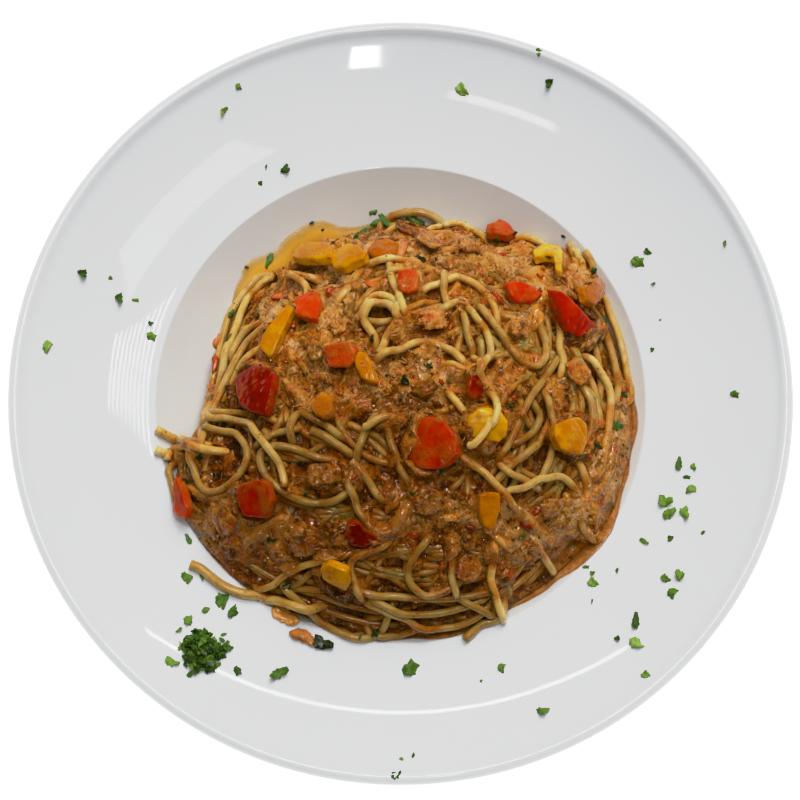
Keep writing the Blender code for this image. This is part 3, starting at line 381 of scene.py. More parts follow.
def from_centre(angle, reach):
    """Plan positions at a bearing and distance from the heap's centre."""
    return HEAP_CENTRE[0] + np.cos(angle) * reach, HEAP_CENTRE[1] + np.sin(angle) * reach


def smoothstep(share):
    share = np.clip(share, 0.0, 1.0)
    return share * share * (3 - 2 * share)


def plate_top(radius):
    """Height of the plate's upper face: flat floor, curved wall, then a hollow rim."""
    wall = np.clip((radius - FLOOR_RADIUS) / (WELL_RADIUS - FLOOR_RADIUS), 0, 1) ** 1.75
    rim = np.clip((radius - WELL_RADIUS) / (RIM_END_RADIUS - WELL_RADIUS), 0, None)
    rise = (RIM_END_HEIGHT - WELL_HEIGHT) * (0.35 * rim + 0.65 * rim * rim)
    return FLOOR_HEIGHT + (WELL_HEIGHT - FLOOR_HEIGHT) * wall + rise


def plate_height(x, y):
    return plate_top(np.hypot(x, y))


def outline_table():
    """The heap's radius about its centre at even angles, eased between the outline's points."""
    arms = np.array(HEAP_OUTLINE_MM) * MM - HEAP_CENTRE
    angles = np.arctan2(arms[:, 1], arms[:, 0]) % TURN
    order = np.argsort(angles)
    angles = angles[order]
    radii = np.hypot(arms[:, 0], arms[:, 1])[order]
    at = np.linspace(0, TURN, 1441)
    index = np.searchsorted(angles, at, side="right") - 1
    following = (index + 1) % len(angles)
    width = (angles[following] - angles[index]) % TURN
    along = (at - angles[index]) % TURN
    return at, radii[index] + (radii[following] - radii[index]) * smoothstep(along / width)


OUTLINE_AT, OUTLINE_RADII = outline_table()


def heap_radius(angle):
    return np.interp(np.mod(angle, TURN), OUTLINE_AT, OUTLINE_RADII)


def core_height(x, y):
    """Height of the bare heap: a broad crown that drops steeply at its edge, with lumps."""
    dx = x - HEAP_CENTRE[0]
    dy = y - HEAP_CENTRE[1]
    angle = np.arctan2(dy, dx)
    reach = heap_radius(angle) - CORE_INSET
    share = np.minimum(1.0, np.hypot(dx, dy) / reach)
    edge = np.hypot(*from_centre(angle, reach))
    foot = plate_top(edge) + CORE_EDGE
    crown = (1 - share ** 2.3) ** 0.85
    lumps = np.sin(450 * x + 1.3) * np.sin(520 * y + 0.4)
    return foot + (CORE_HEIGHT - foot) * crown + LUMP_HEIGHT * lumps * (1 - share ** 4)


def on_surface(surface, x, y):
    """Points of a surface over plan positions, and the surface's normals there."""
    step = 0.0008
    slope_x = (surface(x + step, y) - surface(x - step, y)) / (2 * step)
    slope_y = (surface(x, y + step) - surface(x, y - step)) / (2 * step)
    normals = np.stack([-slope_x, -slope_y, np.ones_like(slope_x)], axis=-1)
    return np.stack([x, y, surface(x, y)], axis=-1), unit(normals)


def sight_line(points):
    """Directions from the eye through photograph points."""
    points = np.atleast_2d(np.asarray(points, float))
    across = (points[:, 0] - VIEW_CENTRE[0]) / PIXELS_PER_SLOPE
    rise = (VIEW_CENTRE[1] - points[:, 1]) / PIXELS_PER_SLOPE
    return np.stack([across, np.zeros_like(across), np.zeros_like(across)], axis=1) + rise[:, None] * UP - BACK


def place_on(surface, points, above=0.0):
    """Plan positions of photographed points that lie a little above a surface."""
    rays = sight_line(points)
    height = np.full(len(rays), LIP_HEIGHT)
    for _ in range(30):
        spot = EYE + rays * ((height - EYE[2]) / rays[:, 2])[:, None]
        height += 0.6 * (surface(spot[:, 0], spot[:, 1]) + above - height)
    return spot[:, 0], spot[:, 1]


def browned_and_shaded(points):
    """How brown and oily the drained sauce is, and how much painted shade darkens the food: 0 at the crown and back,
    1 at the front left.
    """
    front = smoothstep((0.024 - points[:, 1]) / 0.056)
    right = smoothstep((points[:, 0] - 0.014) / 0.030)
    edge = smoothstep((points[:, 0] - 0.058) / 0.014) * smoothstep((points[:, 1] + 0.062) / 0.010)
    left = smoothstep((-0.056 - points[:, 0]) / 0.012)
    return front * (1 - 0.45 * right - 0.35 * edge - 0.45 * left)


# ---------------------------------------------------------------- modelling helpers
def deselect():
    bpy.ops.object.select_all(action="DESELECT")


def pick(piece):
    deselect()
    piece.select_set(True)
    bpy.context.view_layer.objects.active = piece


def apply_all(piece):
    pick(piece)
    for modifier in list(piece.modifiers):
        bpy.ops.object.modifier_apply(modifier=modifier.name)


def read(items, key, shape):
    flat = np.empty(len(items) * abs(math.prod(shape)))
    items.foreach_get(key, flat)
    return flat.reshape(shape)


def coordinates(mesh):
    return read(mesh.vertices, "co", (-1, 3))


def vertex_normals(mesh):
    return read(mesh.vertex_normals, "vector", (-1, 3))


def attribute_of(mesh, name):
    return read(mesh.attributes[name].data, "value", (-1,))


def set_coordinates(mesh, points):
    mesh.vertices.foreach_set("co", np.asarray(points, float).ravel())
    mesh.update()


def set_attribute(mesh, name, values):
    """A value for each point of a mesh, kept from 0 to 1."""
    kept = mesh.attributes.get(name) or mesh.attributes.new(name, "FLOAT", "POINT")
    kept.data.foreach_set("value", np.clip(values, 0.0, 1.0))


def finish_piece(piece, name, finish, slot, *nodes, brown=None):
    """Name a piece, give it its finish, and let it stand for its solids."""
    piece.name = name
    piece.data.name = name
    piece.data.materials.clear()
    piece.data.materials.append(MATERIALS[finish])
    piece.data.polygons.foreach_set("use_smooth", [True] * len(piece.data.polygons))
    # The 'brown' attribute carries the drained sauce's stain and painted shade over the heap's front.
    if "spaghetti" in nodes or slot in ("red_pepper", "yellow_pepper", "tuna"):
        set_attribute(piece.data, "brown", browned_and_shaded(coordinates(piece.data)) if brown is None else brown)
    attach(piece, "root")
    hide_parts(*nodes)


def in_edit_mode(piece, *steps):
    """Run mesh operators, each a function, on a piece with everything selected first."""
    pick(piece)
    bpy.ops.object.mode_set(mode="EDIT")
    bpy.ops.mesh.select_all(action="SELECT")
    for step in steps:
        step()
    bpy.ops.object.mode_set(mode="OBJECT")


def outward():
    bpy.ops.mesh.select_all(action="SELECT")
    bpy.ops.mesh.normals_make_consistent(inside=False)


def pick_border():
    bpy.ops.mesh.select_mode(type="EDGE")
    bpy.ops.mesh.select_all(action="DESELECT")
    bpy.ops.mesh.select_non_manifold()


def close_border():
    """Fill the picked border with a fan of faces."""
    bpy.ops.mesh.edge_face_add()
    bpy.ops.mesh.poke()
    outward()


def thicken(piece, thickness, offset=-1):
    """Give a sheet a wall: behind it, or on both sides where the offset is 0."""
    wall = piece.modifiers.new("wall", "SOLIDIFY")
    wall.thickness = thickness
    wall.offset = offset
    apply_all(piece)


def melt_together(piece, grain, passes):
    """Fuse what a piece is made of into one soft skin of small faces."""
    melt = piece.modifiers.new("melt", "REMESH")
    melt.mode = "VOXEL"
    melt.voxel_size = grain
    soften = piece.modifiers.new("soften", "SMOOTH")
    soften.factor = 0.5
    soften.iterations = passes
    apply_all(piece)


def put_in(name, data):
    """A new object in the scene."""
    piece = bpy.data.objects.new(name, data)
    bpy.context.scene.collection.objects.link(piece)
    return piece


def flat_face(points):
    """One face through a ring of points."""
    bpy.ops.mesh.primitive_circle_add(vertices=len(points), radius=0.01, fill_type="NGON")
    set_coordinates(bpy.context.object.data, points)
    return bpy.context.object


def drawn_out(sides, sections):
    """A bar along X: a ring, extruded from section to section. A section is (x, radius, y, z)."""
    x, radius, y, z = sections[0]
    bpy.ops.mesh.primitive_circle_add(
        vertices=sides, radius=radius, fill_type="NGON", location=(x, y, z), rotation=(0, math.pi / 2, 0),
    )
    bar = bpy.context.object
    bpy.ops.object.transform_apply(location=True, rotation=True, scale=True)

    def draw_on():
        for before, after in zip(sections, sections[1:]):
            move = (after[0] - before[0], after[2] - before[2], after[3] - before[3])
            grow = after[1] / before[1]
            bpy.ops.mesh.extrude_region_move(TRANSFORM_OT_translate={"value": move})
            bpy.ops.transform.resize(value=(1, grow, grow), center_override=(after[0], after[2], after[3]))

    in_edit_mode(bar, draw_on, outward)
    return bar


def as_template(piece):
    """A modelled piece as points and triangles, ready to be copied; the piece itself goes."""
    in_edit_mode(piece, bpy.ops.mesh.quads_convert_to_tris)
    mesh = piece.data
    points = coordinates(mesh)
    corners = np.array([list(face.vertices) for face in mesh.polygons])
    bpy.data.objects.remove(piece, do_unlink=True)
    return points, corners


def joined_copies(templates, draw, origins, axes, tones):
    """One object of many copies, each of any template: axes[i] maps its x, y and z into the scene."""
    chosen = draw.integers(0, len(templates), len(origins))
    points = []
    corners = []
    shades = []
    start = 0
    for which, (shape, triangles) in enumerate(templates):
        mine = np.nonzero(chosen == which)[0]
        moved = np.einsum("kij,mj->kmi", axes[mine], shape) + origins[mine][:, None, :]
        points.append(moved.reshape(-1, 3))
        offset = start + np.arange(len(mine)) * len(shape)
        corners.append((triangles[None] + offset[:, None, None]).reshape(-1, 3))
        shades.append(np.repeat(tones[mine], len(shape)))
        start += len(mine) * len(shape)
    points = np.concatenate(points)
    points[:, 2] = np.minimum(points[:, 2], FOOD_CEILING)
    corners = np.concatenate(corners)
    mesh = bpy.data.meshes.new("copies")
    mesh.vertices.add(len(points))
    mesh.vertices.foreach_set("co", points.ravel())
    mesh.loops.add(corners.size)
    mesh.loops.foreach_set("vertex_index", corners.ravel())
    mesh.polygons.add(len(corners))
    mesh.polygons.foreach_set("loop_start", np.arange(0, corners.size, 3))
    mesh.update(calc_edges=True)
    mesh.validate()
    set_attribute(mesh, "tone", np.concatenate(shades))
    return put_in("copies", mesh)


def laid_axes(normals, turns, sizes):
    """Axes that lay copies on a surface: z along the normal, x turned by an angle, each scaled."""
    flat = np.stack([np.cos(turns), np.sin(turns), np.zeros_like(turns)], axis=1)
    along = unit(flat - normals * np.sum(flat * normals, axis=1, keepdims=True))
    across = np.cross(normals, along)
    return np.stack([along * sizes[:, :1], across * sizes[:, 1:2], normals * sizes[:, 2:]], axis=2)


def catmull(points, steps=14):
    """A smooth curve through points, as a dense line."""
    points = np.asarray(points, float)
    ends = np.vstack([2 * points[0] - points[1], points, 2 * points[-1] - points[-2]])
    t = (np.arange(steps) / steps)[:, None]
    runs = []
    for before, start, end, after in zip(ends, ends[1:], ends[2:], ends[3:]):
        runs.append(0.5 * (
            2 * start + (end - before) * t + (2 * before - 5 * start + 4 * end - after) * t ** 2
            + (3 * start - before - 3 * end + after) * t ** 3
        ))
    return np.vstack(runs + [points[-1:]])


def evenly(line, spacing):
    """Points a set distance apart along a dense line."""
    walked = np.concatenate([[0], np.cumsum(np.linalg.norm(np.diff(line, axis=0), axis=1))])
    count = max(2, int(round(walked[-1] / spacing)) + 1)
    at = np.linspace(0, walked[-1], count)
    return np.stack([np.interp(at, walked, line[:, axis]) for axis in range(line.shape[1])], axis=1)


def ripple(points, size, seed=0.0, octaves=2):
    """Smooth noise from about -1 to 1 at each point, with features of a given size."""
    shift = Vector((seed, seed * 1.7, seed * 0.3))
    scale = 1 / size
    return np.array([
        noise.fractal(Vector(point) * scale + shift, 0.9, 2.1, octaves, noise_basis="PERLIN_ORIGINAL")
        for point in points
    ])


def domes(points, size, seed=0.0):
    """Rounded lumps from 0 in the creases to 1 on top, one to each cell of a given size."""
    shift = Vector((seed, -seed, seed * 0.6))
    scale = 1 / size
    near = np.array([noise.voronoi(Vector(point) * scale + shift)[0][0] for point in points])
    return 1 - np.clip(near, 0, 1) ** 2


def tree_of(points):
    tree = KDTree(len(points))
    for index, point in enumerate(points):
        tree.insert(point, index)
    tree.balance()
    return tree


# ---------------------------------------------------------------- materials
class Signal:
    """What a node puts out over the surface; a sum of signals adds the nodes for it."""

    def __init__(self, nodes, socket):
        self.nodes = nodes
        self.socket = socket

    def math(self, operation, first, second):
        return self.nodes.node("Math", 0, {0: first, 1: second}, operation=operation)

    def __add__(self, other):
        return self.math("ADD", self, other)

    def __sub__(self, other):
        return self.math("SUBTRACT", self, other)

    def __rsub__(self, other):
        return self.math("SUBTRACT", other, self)

    def __mul__(self, other):
        return self.math("MULTIPLY", self, other)

    def __gt__(self, other):
        return self.math("GREATER_THAN", self, other)

    def __lt__(self, other):
        return self.math("LESS_THAN", self, other)

    def held(self):
        """The same sum, kept from 0 to 1."""
        self.socket.node.use_clamp = True
        return self

    def other(self, output):
        """Another output of the same node."""
        return Signal(self.nodes, self.socket.node.outputs[output])


def feed(socket, value):
    """Link a signal to an input, or set a plain value: a number, a vector or a colour."""
    if isinstance(value, Signal):
        socket.id_data.links.new(value.socket, socket)
    else:
        socket.default_value = (*value, 1) if socket.type == "RGBA" else value


class Nodes:
    """The nodes of one finish or group. Each method adds some and returns their signal."""

    def __init__(self, tree):
        self.tree = tree
        self.place = self.node("TexCoord", "Object")

    def node(self, kind, output, inputs=None, **settings):
        made = self.tree.nodes.new("ShaderNode" + kind)
        for key, value in settings.items():
            setattr(made, key, value)
        for key, value in (inputs or {}).items():
            feed(made.inputs[key], value)
        return Signal(self, made.outputs[output])

    def noise(self, scale, detail=3.0, roughness=0.55, place=None):
        return self.node("TexNoise", "Fac", {
            "Vector": place or self.place, "Scale": scale, "Detail": detail, "Roughness": roughness,
        })

    def cells(self, scale, output, place=None):
        return self.node("TexVoronoi", output, {"Vector": place or self.place, "Scale": scale, "Randomness": 1.0})

    def vector(self, operation, output, *given):
        return self.node("VectorMath", output, dict(enumerate(given)), operation=operation)

    def part(self, axis, vector):
        return self.node("SeparateXYZ", axis, {"Vector": vector})

    def attribute(self, name):
        return self.node("Attribute", "Fac", attribute_name=name)

    def ramp(self, factor, *stops):
        """A colour ramp. Each stop is its position, then a grey value or a colour."""
        made = self.node("ValToRGB", "Color", {"Fac": factor})
        ends = made.socket.node.color_ramp.elements
        while len(ends) < len(stops):
            ends.new(0.5)
        for end, (position, *value) in zip(ends, stops):
            end.position = position
            end.color = (*(value * 3)[:3], 1)
        return made

    def mix(self, factor, first, second, blend="MIX"):
        return self.node("Mix", 2, {0: factor, 6: first, 7: second}, data_type="RGBA", blend_type=blend)

    def drained_and_shaded(self, colour, stain_and_shade):
        """A colour darkened where brown sauce has drained onto it, and by painted shade at the heap's front."""
        return self.mix(self.attribute("brown"), colour, stain_and_shade, "MULTIPLY")

    def bump(self, height, strength, distance):
        return self.node("Bump", "Normal", {"Height": height, "Strength": strength, "Distance": distance})

    def cling(self, size, share):
        """Clinging sauce: its patches, specks and grain."""
        made = self.node("Group", "Patches", {"Patch Size": size, "Patch Share": share}, node_tree=CLING)
        return made, made.other("Specks"), made.other("Grain")


class Finish(Nodes):
    """A material and its nodes."""

    def __init__(self, name):
        self.material = bpy.data.materials.new(name)
        self.material.use_nodes = True
        super().__init__(self.material.node_tree)

    def done(self, inputs):
        """Feed the shader's inputs, and return the material."""
        shader = self.tree.nodes["Principled BSDF"]
        for key, value in inputs.items():
            feed(shader.inputs[key], value)
        return self.material


def sauce_cling():
    """Where sauce clings to a piece: soft patches, fine specks of herb, and its grain."""
    group = bpy.data.node_groups.new("sauce_cling", "ShaderNodeTree")
    for side, names in (("INPUT", ("Patch Size", "Patch Share")), ("OUTPUT", ("Patches", "Specks", "Grain"))):
        for name in names:
            group.interface.new_socket(name, in_out=side, socket_type="NodeSocketFloat")
    made = Nodes(group)
    size, share = (Signal(made, socket) for socket in group.nodes.new("NodeGroupInput").outputs[:2])
    patches = ((made.noise(size, 4.0, 0.6) - share) * 7.0).held()
    specks = ((0.17 - made.cells(620.0, "Distance")) * 14.0).held() * (made.noise(310.0, 1.0) > 0.62)
    grain = made.noise(1500.0, 3.0, 0.65)
    sink = group.nodes.new("NodeGroupOutput")
    for socket, signal in zip(sink.inputs, (patches, specks, grain)):
        feed(socket, signal)
    return group


CLING = sauce_cling()
# Multipliers at full 'brown', for sauce, pasta and pepper: the drained sauce's stain and painted shade over the
# heap's front.
SAUCE_STAIN_AND_SHADE = (0.585, 0.455, 0.26)
PASTA_STAIN_AND_SHADE = (0.52, 0.44, 0.32)
PEPPER_STAIN_AND_SHADE = (0.72, 0.60, 0.50)


def porcelain():
    """White glaze, a little uneven, with painted warm shade in the well, bare and matt under the foot ring."""
    made = Finish("porcelain_glaze")
    bare = made.part("Z", made.place) < 0.0004
    tint = made.ramp(made.noise(18.0, 2.0), (0.3, 0.790, 0.812, 0.836), (0.7, 0.822, 0.842, 0.862))
    radius = made.vector("LENGTH", "Value", made.vector("MULTIPLY", 0, made.place, (1.0, 1.0, 0.0)))
    # Painted shade: the glaze in the well is darkened and warmed, standing in for the heap's shadow and its warm
    # bounce.
    painted_well_shade = ((WELL_RADIUS + 0.0004 - radius) * 900.0).held()
    tint = made.mix(painted_well_shade, tint, (0.87, 0.835, 0.785), "MULTIPLY")
    smear = made.ramp(made.noise(60.0, 4.0), (0.35, 0.03), (0.75, 0.06))
    return made.done({
        "Base Color": made.mix(bare, tint, (0.70, 0.68, 0.63)),
        "Roughness": made.mix(bare, smear, (0.7, 0.7, 0.7)),
        "Normal": made.bump(made.noise(55.0, 2.0), 0.03, 0.0006),
        "IOR": 1.52,
    })


def pasta():
    """Boiled spaghetti: pale yellow, wet, stained orange where the sauce wets it, and darker low by the sauce, partly
    as painted shade.
    """
    made = Finish("sauced_spaghetti")
    patches, specks, grain = made.cling(210.0, 0.50)
    dough = made.ramp(
        made.noise(130.0), (0.30, 0.60, 0.38, 0.095), (0.52, 0.70, 0.50, 0.165), (0.74, 0.78, 0.63, 0.30),
    )
    # Low by the sauce the strands turn darker orange: real sauce wetting them, and painted shade where they meet it.
    wet = (made.attribute("coat") * 0.90 + patches * 0.50).held()
    tint = made.ramp(grain, (0.3, 0.42, 0.150, 0.014), (0.7, 0.66, 0.31, 0.050))
    dotted = made.mix(specks * 0.8, made.mix(wet, dough, tint), (0.10, 0.05, 0.010))
    return made.done({
        "Base Color": made.drained_and_shaded(dotted, PASTA_STAIN_AND_SHADE),
        "Roughness": made.ramp(grain, (0.3, 0.22), (0.7, 0.42)),
        "Normal": made.bump(grain + patches, 0.35, 0.00030),
        "Specular IOR Level": 0.3, "Specular Tint": (1.0, 0.86, 0.62),
        "Subsurface Weight": 0.60, "Subsurface Radius": (1.0, 0.55, 0.16), "Subsurface Scale": 0.0016,
        "Coat Weight": 0.8, "Coat Roughness": 0.08, "Coat IOR": 1.50,
        "Coat Normal": made.bump(made.noise(700.0, 2.0, 0.6), 0.50, 0.0006),
    })


def mush(name, source):
    """Tuna and tomato sauce: orange brown, grainy and wet, with painted shade in its hollows, and paler fish."""
    made = Finish(name)
    swirl = made.node("TexNoise", "Color", {"Vector": made.place, "Scale": 260.0, "Detail": 2.0})
    offset = made.vector("SUBTRACT", 0, swirl, (0.5, 0.5, 0.5))
    drawn = made.vector("MULTIPLY_ADD", 0, offset, (0.0058, 0.0058, 0.0058), made.place)
    soft = made.noise(330.0, 3.0, 0.6, drawn)
    fine = made.noise(900.0, 3.0, 0.65, drawn)
    turn = made.part("X", made.cells(150.0, "Color", drawn)) * TURN
    turned = made.node(
        "VectorRotate", 0, {"Vector": made.place, "Axis": (0, 0, 1), "Angle": turn}, rotation_type="AXIS_ANGLE",
    )
    fibre = made.noise(300.0, 2.0, 0.6, made.vector("MULTIPLY", 0, turned, (1.0, 5.0, 1.0)))
    shift = (soft - 0.50) * 0.85 + (fine - 0.5) * 0.75 + (fibre - 0.5) * 0.65
    # Where the sauce lies low its colour goes dark: painted shade in the hollows.
    level = (made.attribute(source) + shift).held()
    tanned = made.ramp(
        level, (0.12, 0.070, 0.020, 0.0010), (0.38, 0.205, 0.070, 0.006), (0.62, 0.43, 0.190, 0.030),
        (0.95, 0.66, 0.36, 0.095),
    )
    ruddy = made.ramp(
        level, (0.10, 0.085, 0.016, 0.001), (0.36, 0.26, 0.060, 0.003), (0.62, 0.48, 0.160, 0.012),
        (0.95, 0.66, 0.29, 0.042),
    )
    tint = made.mix(made.ramp(made.noise(75.0), (0.42, 0.0), (0.62, 1.0)), tanned, ruddy)
    bits = made.cells(270.0, "Color", drawn)
    inner = ((0.62 - bits.other("Distance")) * 4.0).held()
    chance = made.part("X", bits)
    fish = made.ramp(level, (0.25, 0.20, 0.075, 0.014), (0.55, 0.50, 0.250, 0.075), (0.85, 0.72, 0.46, 0.22))
    tomato = made.ramp(level, (0.25, 0.16, 0.018, 0.002), (0.60, 0.50, 0.085, 0.007), (0.90, 0.68, 0.20, 0.025))
    olive = (0.055, 0.045, 0.014)
    for axis, least, share, colour in (("X", 0.70, 0.75, fish), ("Y", 0.84, 0.75, tomato), ("Z", 0.91, 0.6, olive)):
        tint = made.mix((chance.other(axis) > least) * inner * share, tint, colour)
    dotted = made.mix(made.cling(100.0, 0.5)[1], tint, (0.03, 0.02, 0.006))
    return made.done({
        "Base Color": made.drained_and_shaded(dotted, SAUCE_STAIN_AND_SHADE),
        "Roughness": made.ramp(soft, (0.35, 0.24), (0.68, 0.44)),
        "Normal": made.bump(fine * 0.7 + soft + fibre * 0.9, 0.75, 0.0007),
        "Specular IOR Level": 0.35, "Specular Tint": (1.0, 0.74, 0.46),
        "Coat Weight": 1.0, "Coat Roughness": 0.05, "Coat IOR": 1.62,
        "Coat Normal": made.bump(made.noise(470.0, 2.0, 0.5, drawn), 0.70, 0.0011),
    })


def toned(name, stops, roughness, coat, grain_scale, grain_depth, drains_and_shades=False):
    """A finish for scattered bits, whose colour follows each bit's own tone, and where asked the drained stain and
    painted shade of the heap's front.
    """
    made = Finish(name)
    speckle = made.noise(grain_scale, 4.0, 0.65)
    tint = made.ramp((made.attribute("tone") + (speckle - 0.5) * 0.6).held(), *stops)
    return made.done({
        "Base Color": made.drained_and_shaded(tint, SAUCE_STAIN_AND_SHADE) if drains_and_shades else tint,
        "Roughness": made.ramp(speckle, (0.3, roughness * 0.7), (0.7, roughness * 1.25)),
        "Normal": made.bump(speckle, 0.5, grain_depth),
        "Coat Weight": coat, "Coat Roughness": 0.08,
    })


def pepper(name, hues, flesh):
    """Cooked pepper: glossy skin, paler cut sides, sauce on part of it."""
    made = Finish(name)
    patches = made.ramp(made.noise(210.0, 2.0, 0.5), (0.38, 0.0), (0.66, 1.0))
    _, specks, grain = made.cling(330.0, 0.44)
    ripe = (made.attribute("hue") + (made.noise(190.0) - 0.5) * 0.60).held()
    outer = made.ramp(ripe, *hues)
    sides = made.mix(made.attribute("cut") * 0.40, outer, flesh)
    sauce = made.ramp(grain, (0.3, 0.36, 0.100, 0.009), (0.7, 0.56, 0.22, 0.036))
    cover = (made.attribute("sauced") * 1.25 - 0.55 + (patches - 0.5) * 0.80).held()
    dotted = made.mix(specks, made.mix(cover * 0.80, sides, sauce), (0.035, 0.030, 0.008))
    relief = cover * (grain + 0.6) + made.noise(480.0, 2.0, 0.5) * 0.4
    return made.done({
        "Base Color": made.drained_and_shaded(dotted, PEPPER_STAIN_AND_SHADE),
        "Roughness": made.ramp(cover, (0.0, 0.16), (1.0, 0.36)),
        "Normal": made.bump(relief, 0.5, 0.0005),
        "Specular IOR Level": 0.12, "Specular Tint": (1.0, 0.62, 0.30),
        "Subsurface Weight": 0.15, "Subsurface Radius": (1.0, 0.30, 0.06), "Subsurface Scale": 0.0012,
        "Coat Weight": 0.55, "Coat Roughness": 0.05,
        "Coat Normal": made.bump(made.noise(420.0, 2.0, 0.5), 0.55, 0.0006),
    })


def oil():
    """A film of yellow oil on one side and thin brown sauce elsewhere, clear at its edge."""
    made = Finish("orange_oil")
    edge, oily = made.attribute("edge"), made.attribute("oily")
    cloud = made.noise(120.0, 4.0, 0.6)
    fine = made.noise(700.0, 3.0, 0.6)
    depth = (edge + (cloud - 0.5) * 0.7).held()
    yellow = made.ramp(depth, (0.0, 0.86, 0.60, 0.18), (0.35, 0.80, 0.46, 0.060), (0.8, 0.64, 0.27, 0.025))
    brown = made.ramp(
        depth + (fine - 0.5), (0.0, 0.54, 0.26, 0.085), (0.25, 0.36, 0.145, 0.034), (0.9, 0.24, 0.085, 0.018),
    )
    cover = (edge * (9.0 - oily * 6.2) + (cloud - 0.42)).held()
    return made.done({
        "Base Color": made.mix(oily, brown, yellow),
        "Alpha": cover,
        "Roughness": made.ramp(cover, (0.3, 0.10), (0.7, 0.24)),
        "Normal": made.bump(cloud + fine * 0.25, 0.35, 0.0006),
    })


LEAF_STOPS = [
    (0.0, 0.022, 0.052, 0.010), (0.35, 0.080, 0.165, 0.018), (0.7, 0.19, 0.33, 0.044), (1.0, 0.40, 0.54, 0.14),
]
WET_LEAF_STOPS = [
    (0.0, 0.014, 0.018, 0.005), (0.35, 0.030, 0.060, 0.010), (0.7, 0.075, 0.17, 0.022), (1.0, 0.18, 0.34, 0.05),
]
SHRED_STOPS = [
    (0.0, 0.16, 0.042, 0.006), (0.3, 0.36, 0.125, 0.020), (0.6, 0.52, 0.235, 0.052),
    (0.85, 0.64, 0.36, 0.12), (1.0, 0.74, 0.48, 0.21),
]
CRUMB_STOPS = [
    (0.0, 0.10, 0.022, 0.004), (0.25, 0.33, 0.085, 0.010), (0.5, 0.48, 0.165, 0.024),
    (0.8, 0.60, 0.30, 0.075), (1.0, 0.78, 0.50, 0.19),
]
TOMATO_STOPS = [
    (0.0, 0.16, 0.012, 0.003), (0.4, 0.42, 0.045, 0.006), (0.75, 0.62, 0.13, 0.016), (1.0, 0.74, 0.27, 0.085),
]
DROP_STOPS = [(0.0, 0.22, 0.060, 0.009), (0.5, 0.46, 0.165, 0.026), (1.0, 0.66, 0.31, 0.065)]
ONION_STOPS = [(0.0, 0.50, 0.20, 0.035), (0.5, 0.70, 0.34, 0.075), (1.0, 0.80, 0.48, 0.15)]
RED_HUES = [(0.0, 0.20, 0.006, 0.002), (0.5, 0.47, 0.015, 0.003), (1.0, 0.72, 0.085, 0.007)]
YELLOW_HUES = [(0.0, 0.46, 0.125, 0.002), (0.5, 0.58, 0.25, 0.003), (1.0, 0.84, 0.52, 0.008)]
MATERIALS = {
    "porcelain": porcelain(),
    "pasta": pasta(),
    "mush": mush("tuna_tomato_sauce", "rise"),
    "shreds": toned("tuna_shreds", SHRED_STOPS, 0.24, 0.9, 1400.0, 0.00025, True),
    "crumbs": toned("sauce_crumbs", CRUMB_STOPS, 0.20, 0.8, 900.0, 0.0003, True),
    "flakes": mush("sauced_tuna", "tone"),
    "red": pepper("red_pepper_flesh", RED_HUES, (0.60, 0.070, 0.010)),
    "yellow": pepper("yellow_pepper_flesh", YELLOW_HUES, (0.74, 0.38, 0.012)),
    "oil": oil(),
    "tomato": toned("tomato_scraps", TOMATO_STOPS, 0.24, 0.6, 700.0, 0.0003, True),
    "sauce_drop": toned("sauce_drop", DROP_STOPS, 0.42, 0.25, 700.0, 0.0007),
    "onion_scrap": toned("onion_scrap", ONION_STOPS, 0.26, 0.4, 420.0, 0.0005),
    "leaf": toned("fresh_parsley", LEAF_STOPS, 0.50, 0.0, 620.0, 0.0003),
    "wet_leaf": toned("sauced_parsley", WET_LEAF_STOPS, 0.30, 0.4, 620.0, 0.0003),
}


# ---------------------------------------------------------------- plate
def plate_section():
    """Points of the plate's section from the axis over the top, round the lip and back below."""
    def along_top(radii, below=0.0):
        return [(radius, float(plate_top(radius)) - below) for radius in radii]

    inside = [*np.linspace(0.0410, 0.0835, 18), 0.0845, 0.0851, WELL_RADIUS, 0.0859, 0.0866]
    lip = [(PLATE_RADIUS - inward, LIP_HEIGHT - down) for inward, down in LIP_ROUND]
    foot = [
        (FOOT_OUTER + 0.0018, float(plate_top(FOOT_OUTER)) - PLATE_WALL - 0.0006), (FOOT_OUTER + 0.0004, 0.0012),
        (FOOT_OUTER, 0.0003), (FOOT_OUTER - 0.0004, 0.0), (FOOT_INNER + 0.0003, 0.0), (FOOT_INNER, 0.0003),
        (FOOT_INNER - 0.0006, FOOT_RECESS), (FIRST_RING, FOOT_RECESS),
    ]
    rim = along_top(np.linspace(0.0885, RIM_END_RADIUS, 16))
    return along_top(inside) + rim + lip + along_top(np.linspace(0.130, 0.0535, 24), PLATE_WALL) + foot


def turned_plate():
    """The plate, extruded ring by ring from its floor round the lip to its foot."""
    bpy.ops.mesh.primitive_circle_add(
        vertices=PLATE_SEGMENTS, radius=FIRST_RING, fill_type="TRIFAN", location=(0, 0, FLOOR_HEIGHT),
    )
    plate = bpy.context.object
    bpy.ops.object.transform_apply(location=True)

    def draw_rings():
        radius, height = FIRST_RING, FLOOR_HEIGHT
        for next_radius, next_height in plate_section():
            grow = next_radius / radius
            bpy.ops.mesh.extrude_edges_move(TRANSFORM_OT_translate={"value": (0, 0, next_height - height)})
            bpy.ops.transform.resize(value=(grow, grow, 1), center_override=(0, 0, next_height))
            radius, height = next_radius, next_height

    in_edit_mode(plate, pick_border, draw_rings, close_border)
    finish_piece(plate, "dinner_plate", "porcelain", "porcelain", "plate")


# ---------------------------------------------------------------- peppers
def solid_frame(name):
    """Middle of a solid, and the bare heap's point and normal there."""
    low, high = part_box(name)
    middle = np.array((low + high) / 2)
    base, normal = on_surface(core_height, middle[:1], middle[1:2])
    return middle, base[0], normal[0]


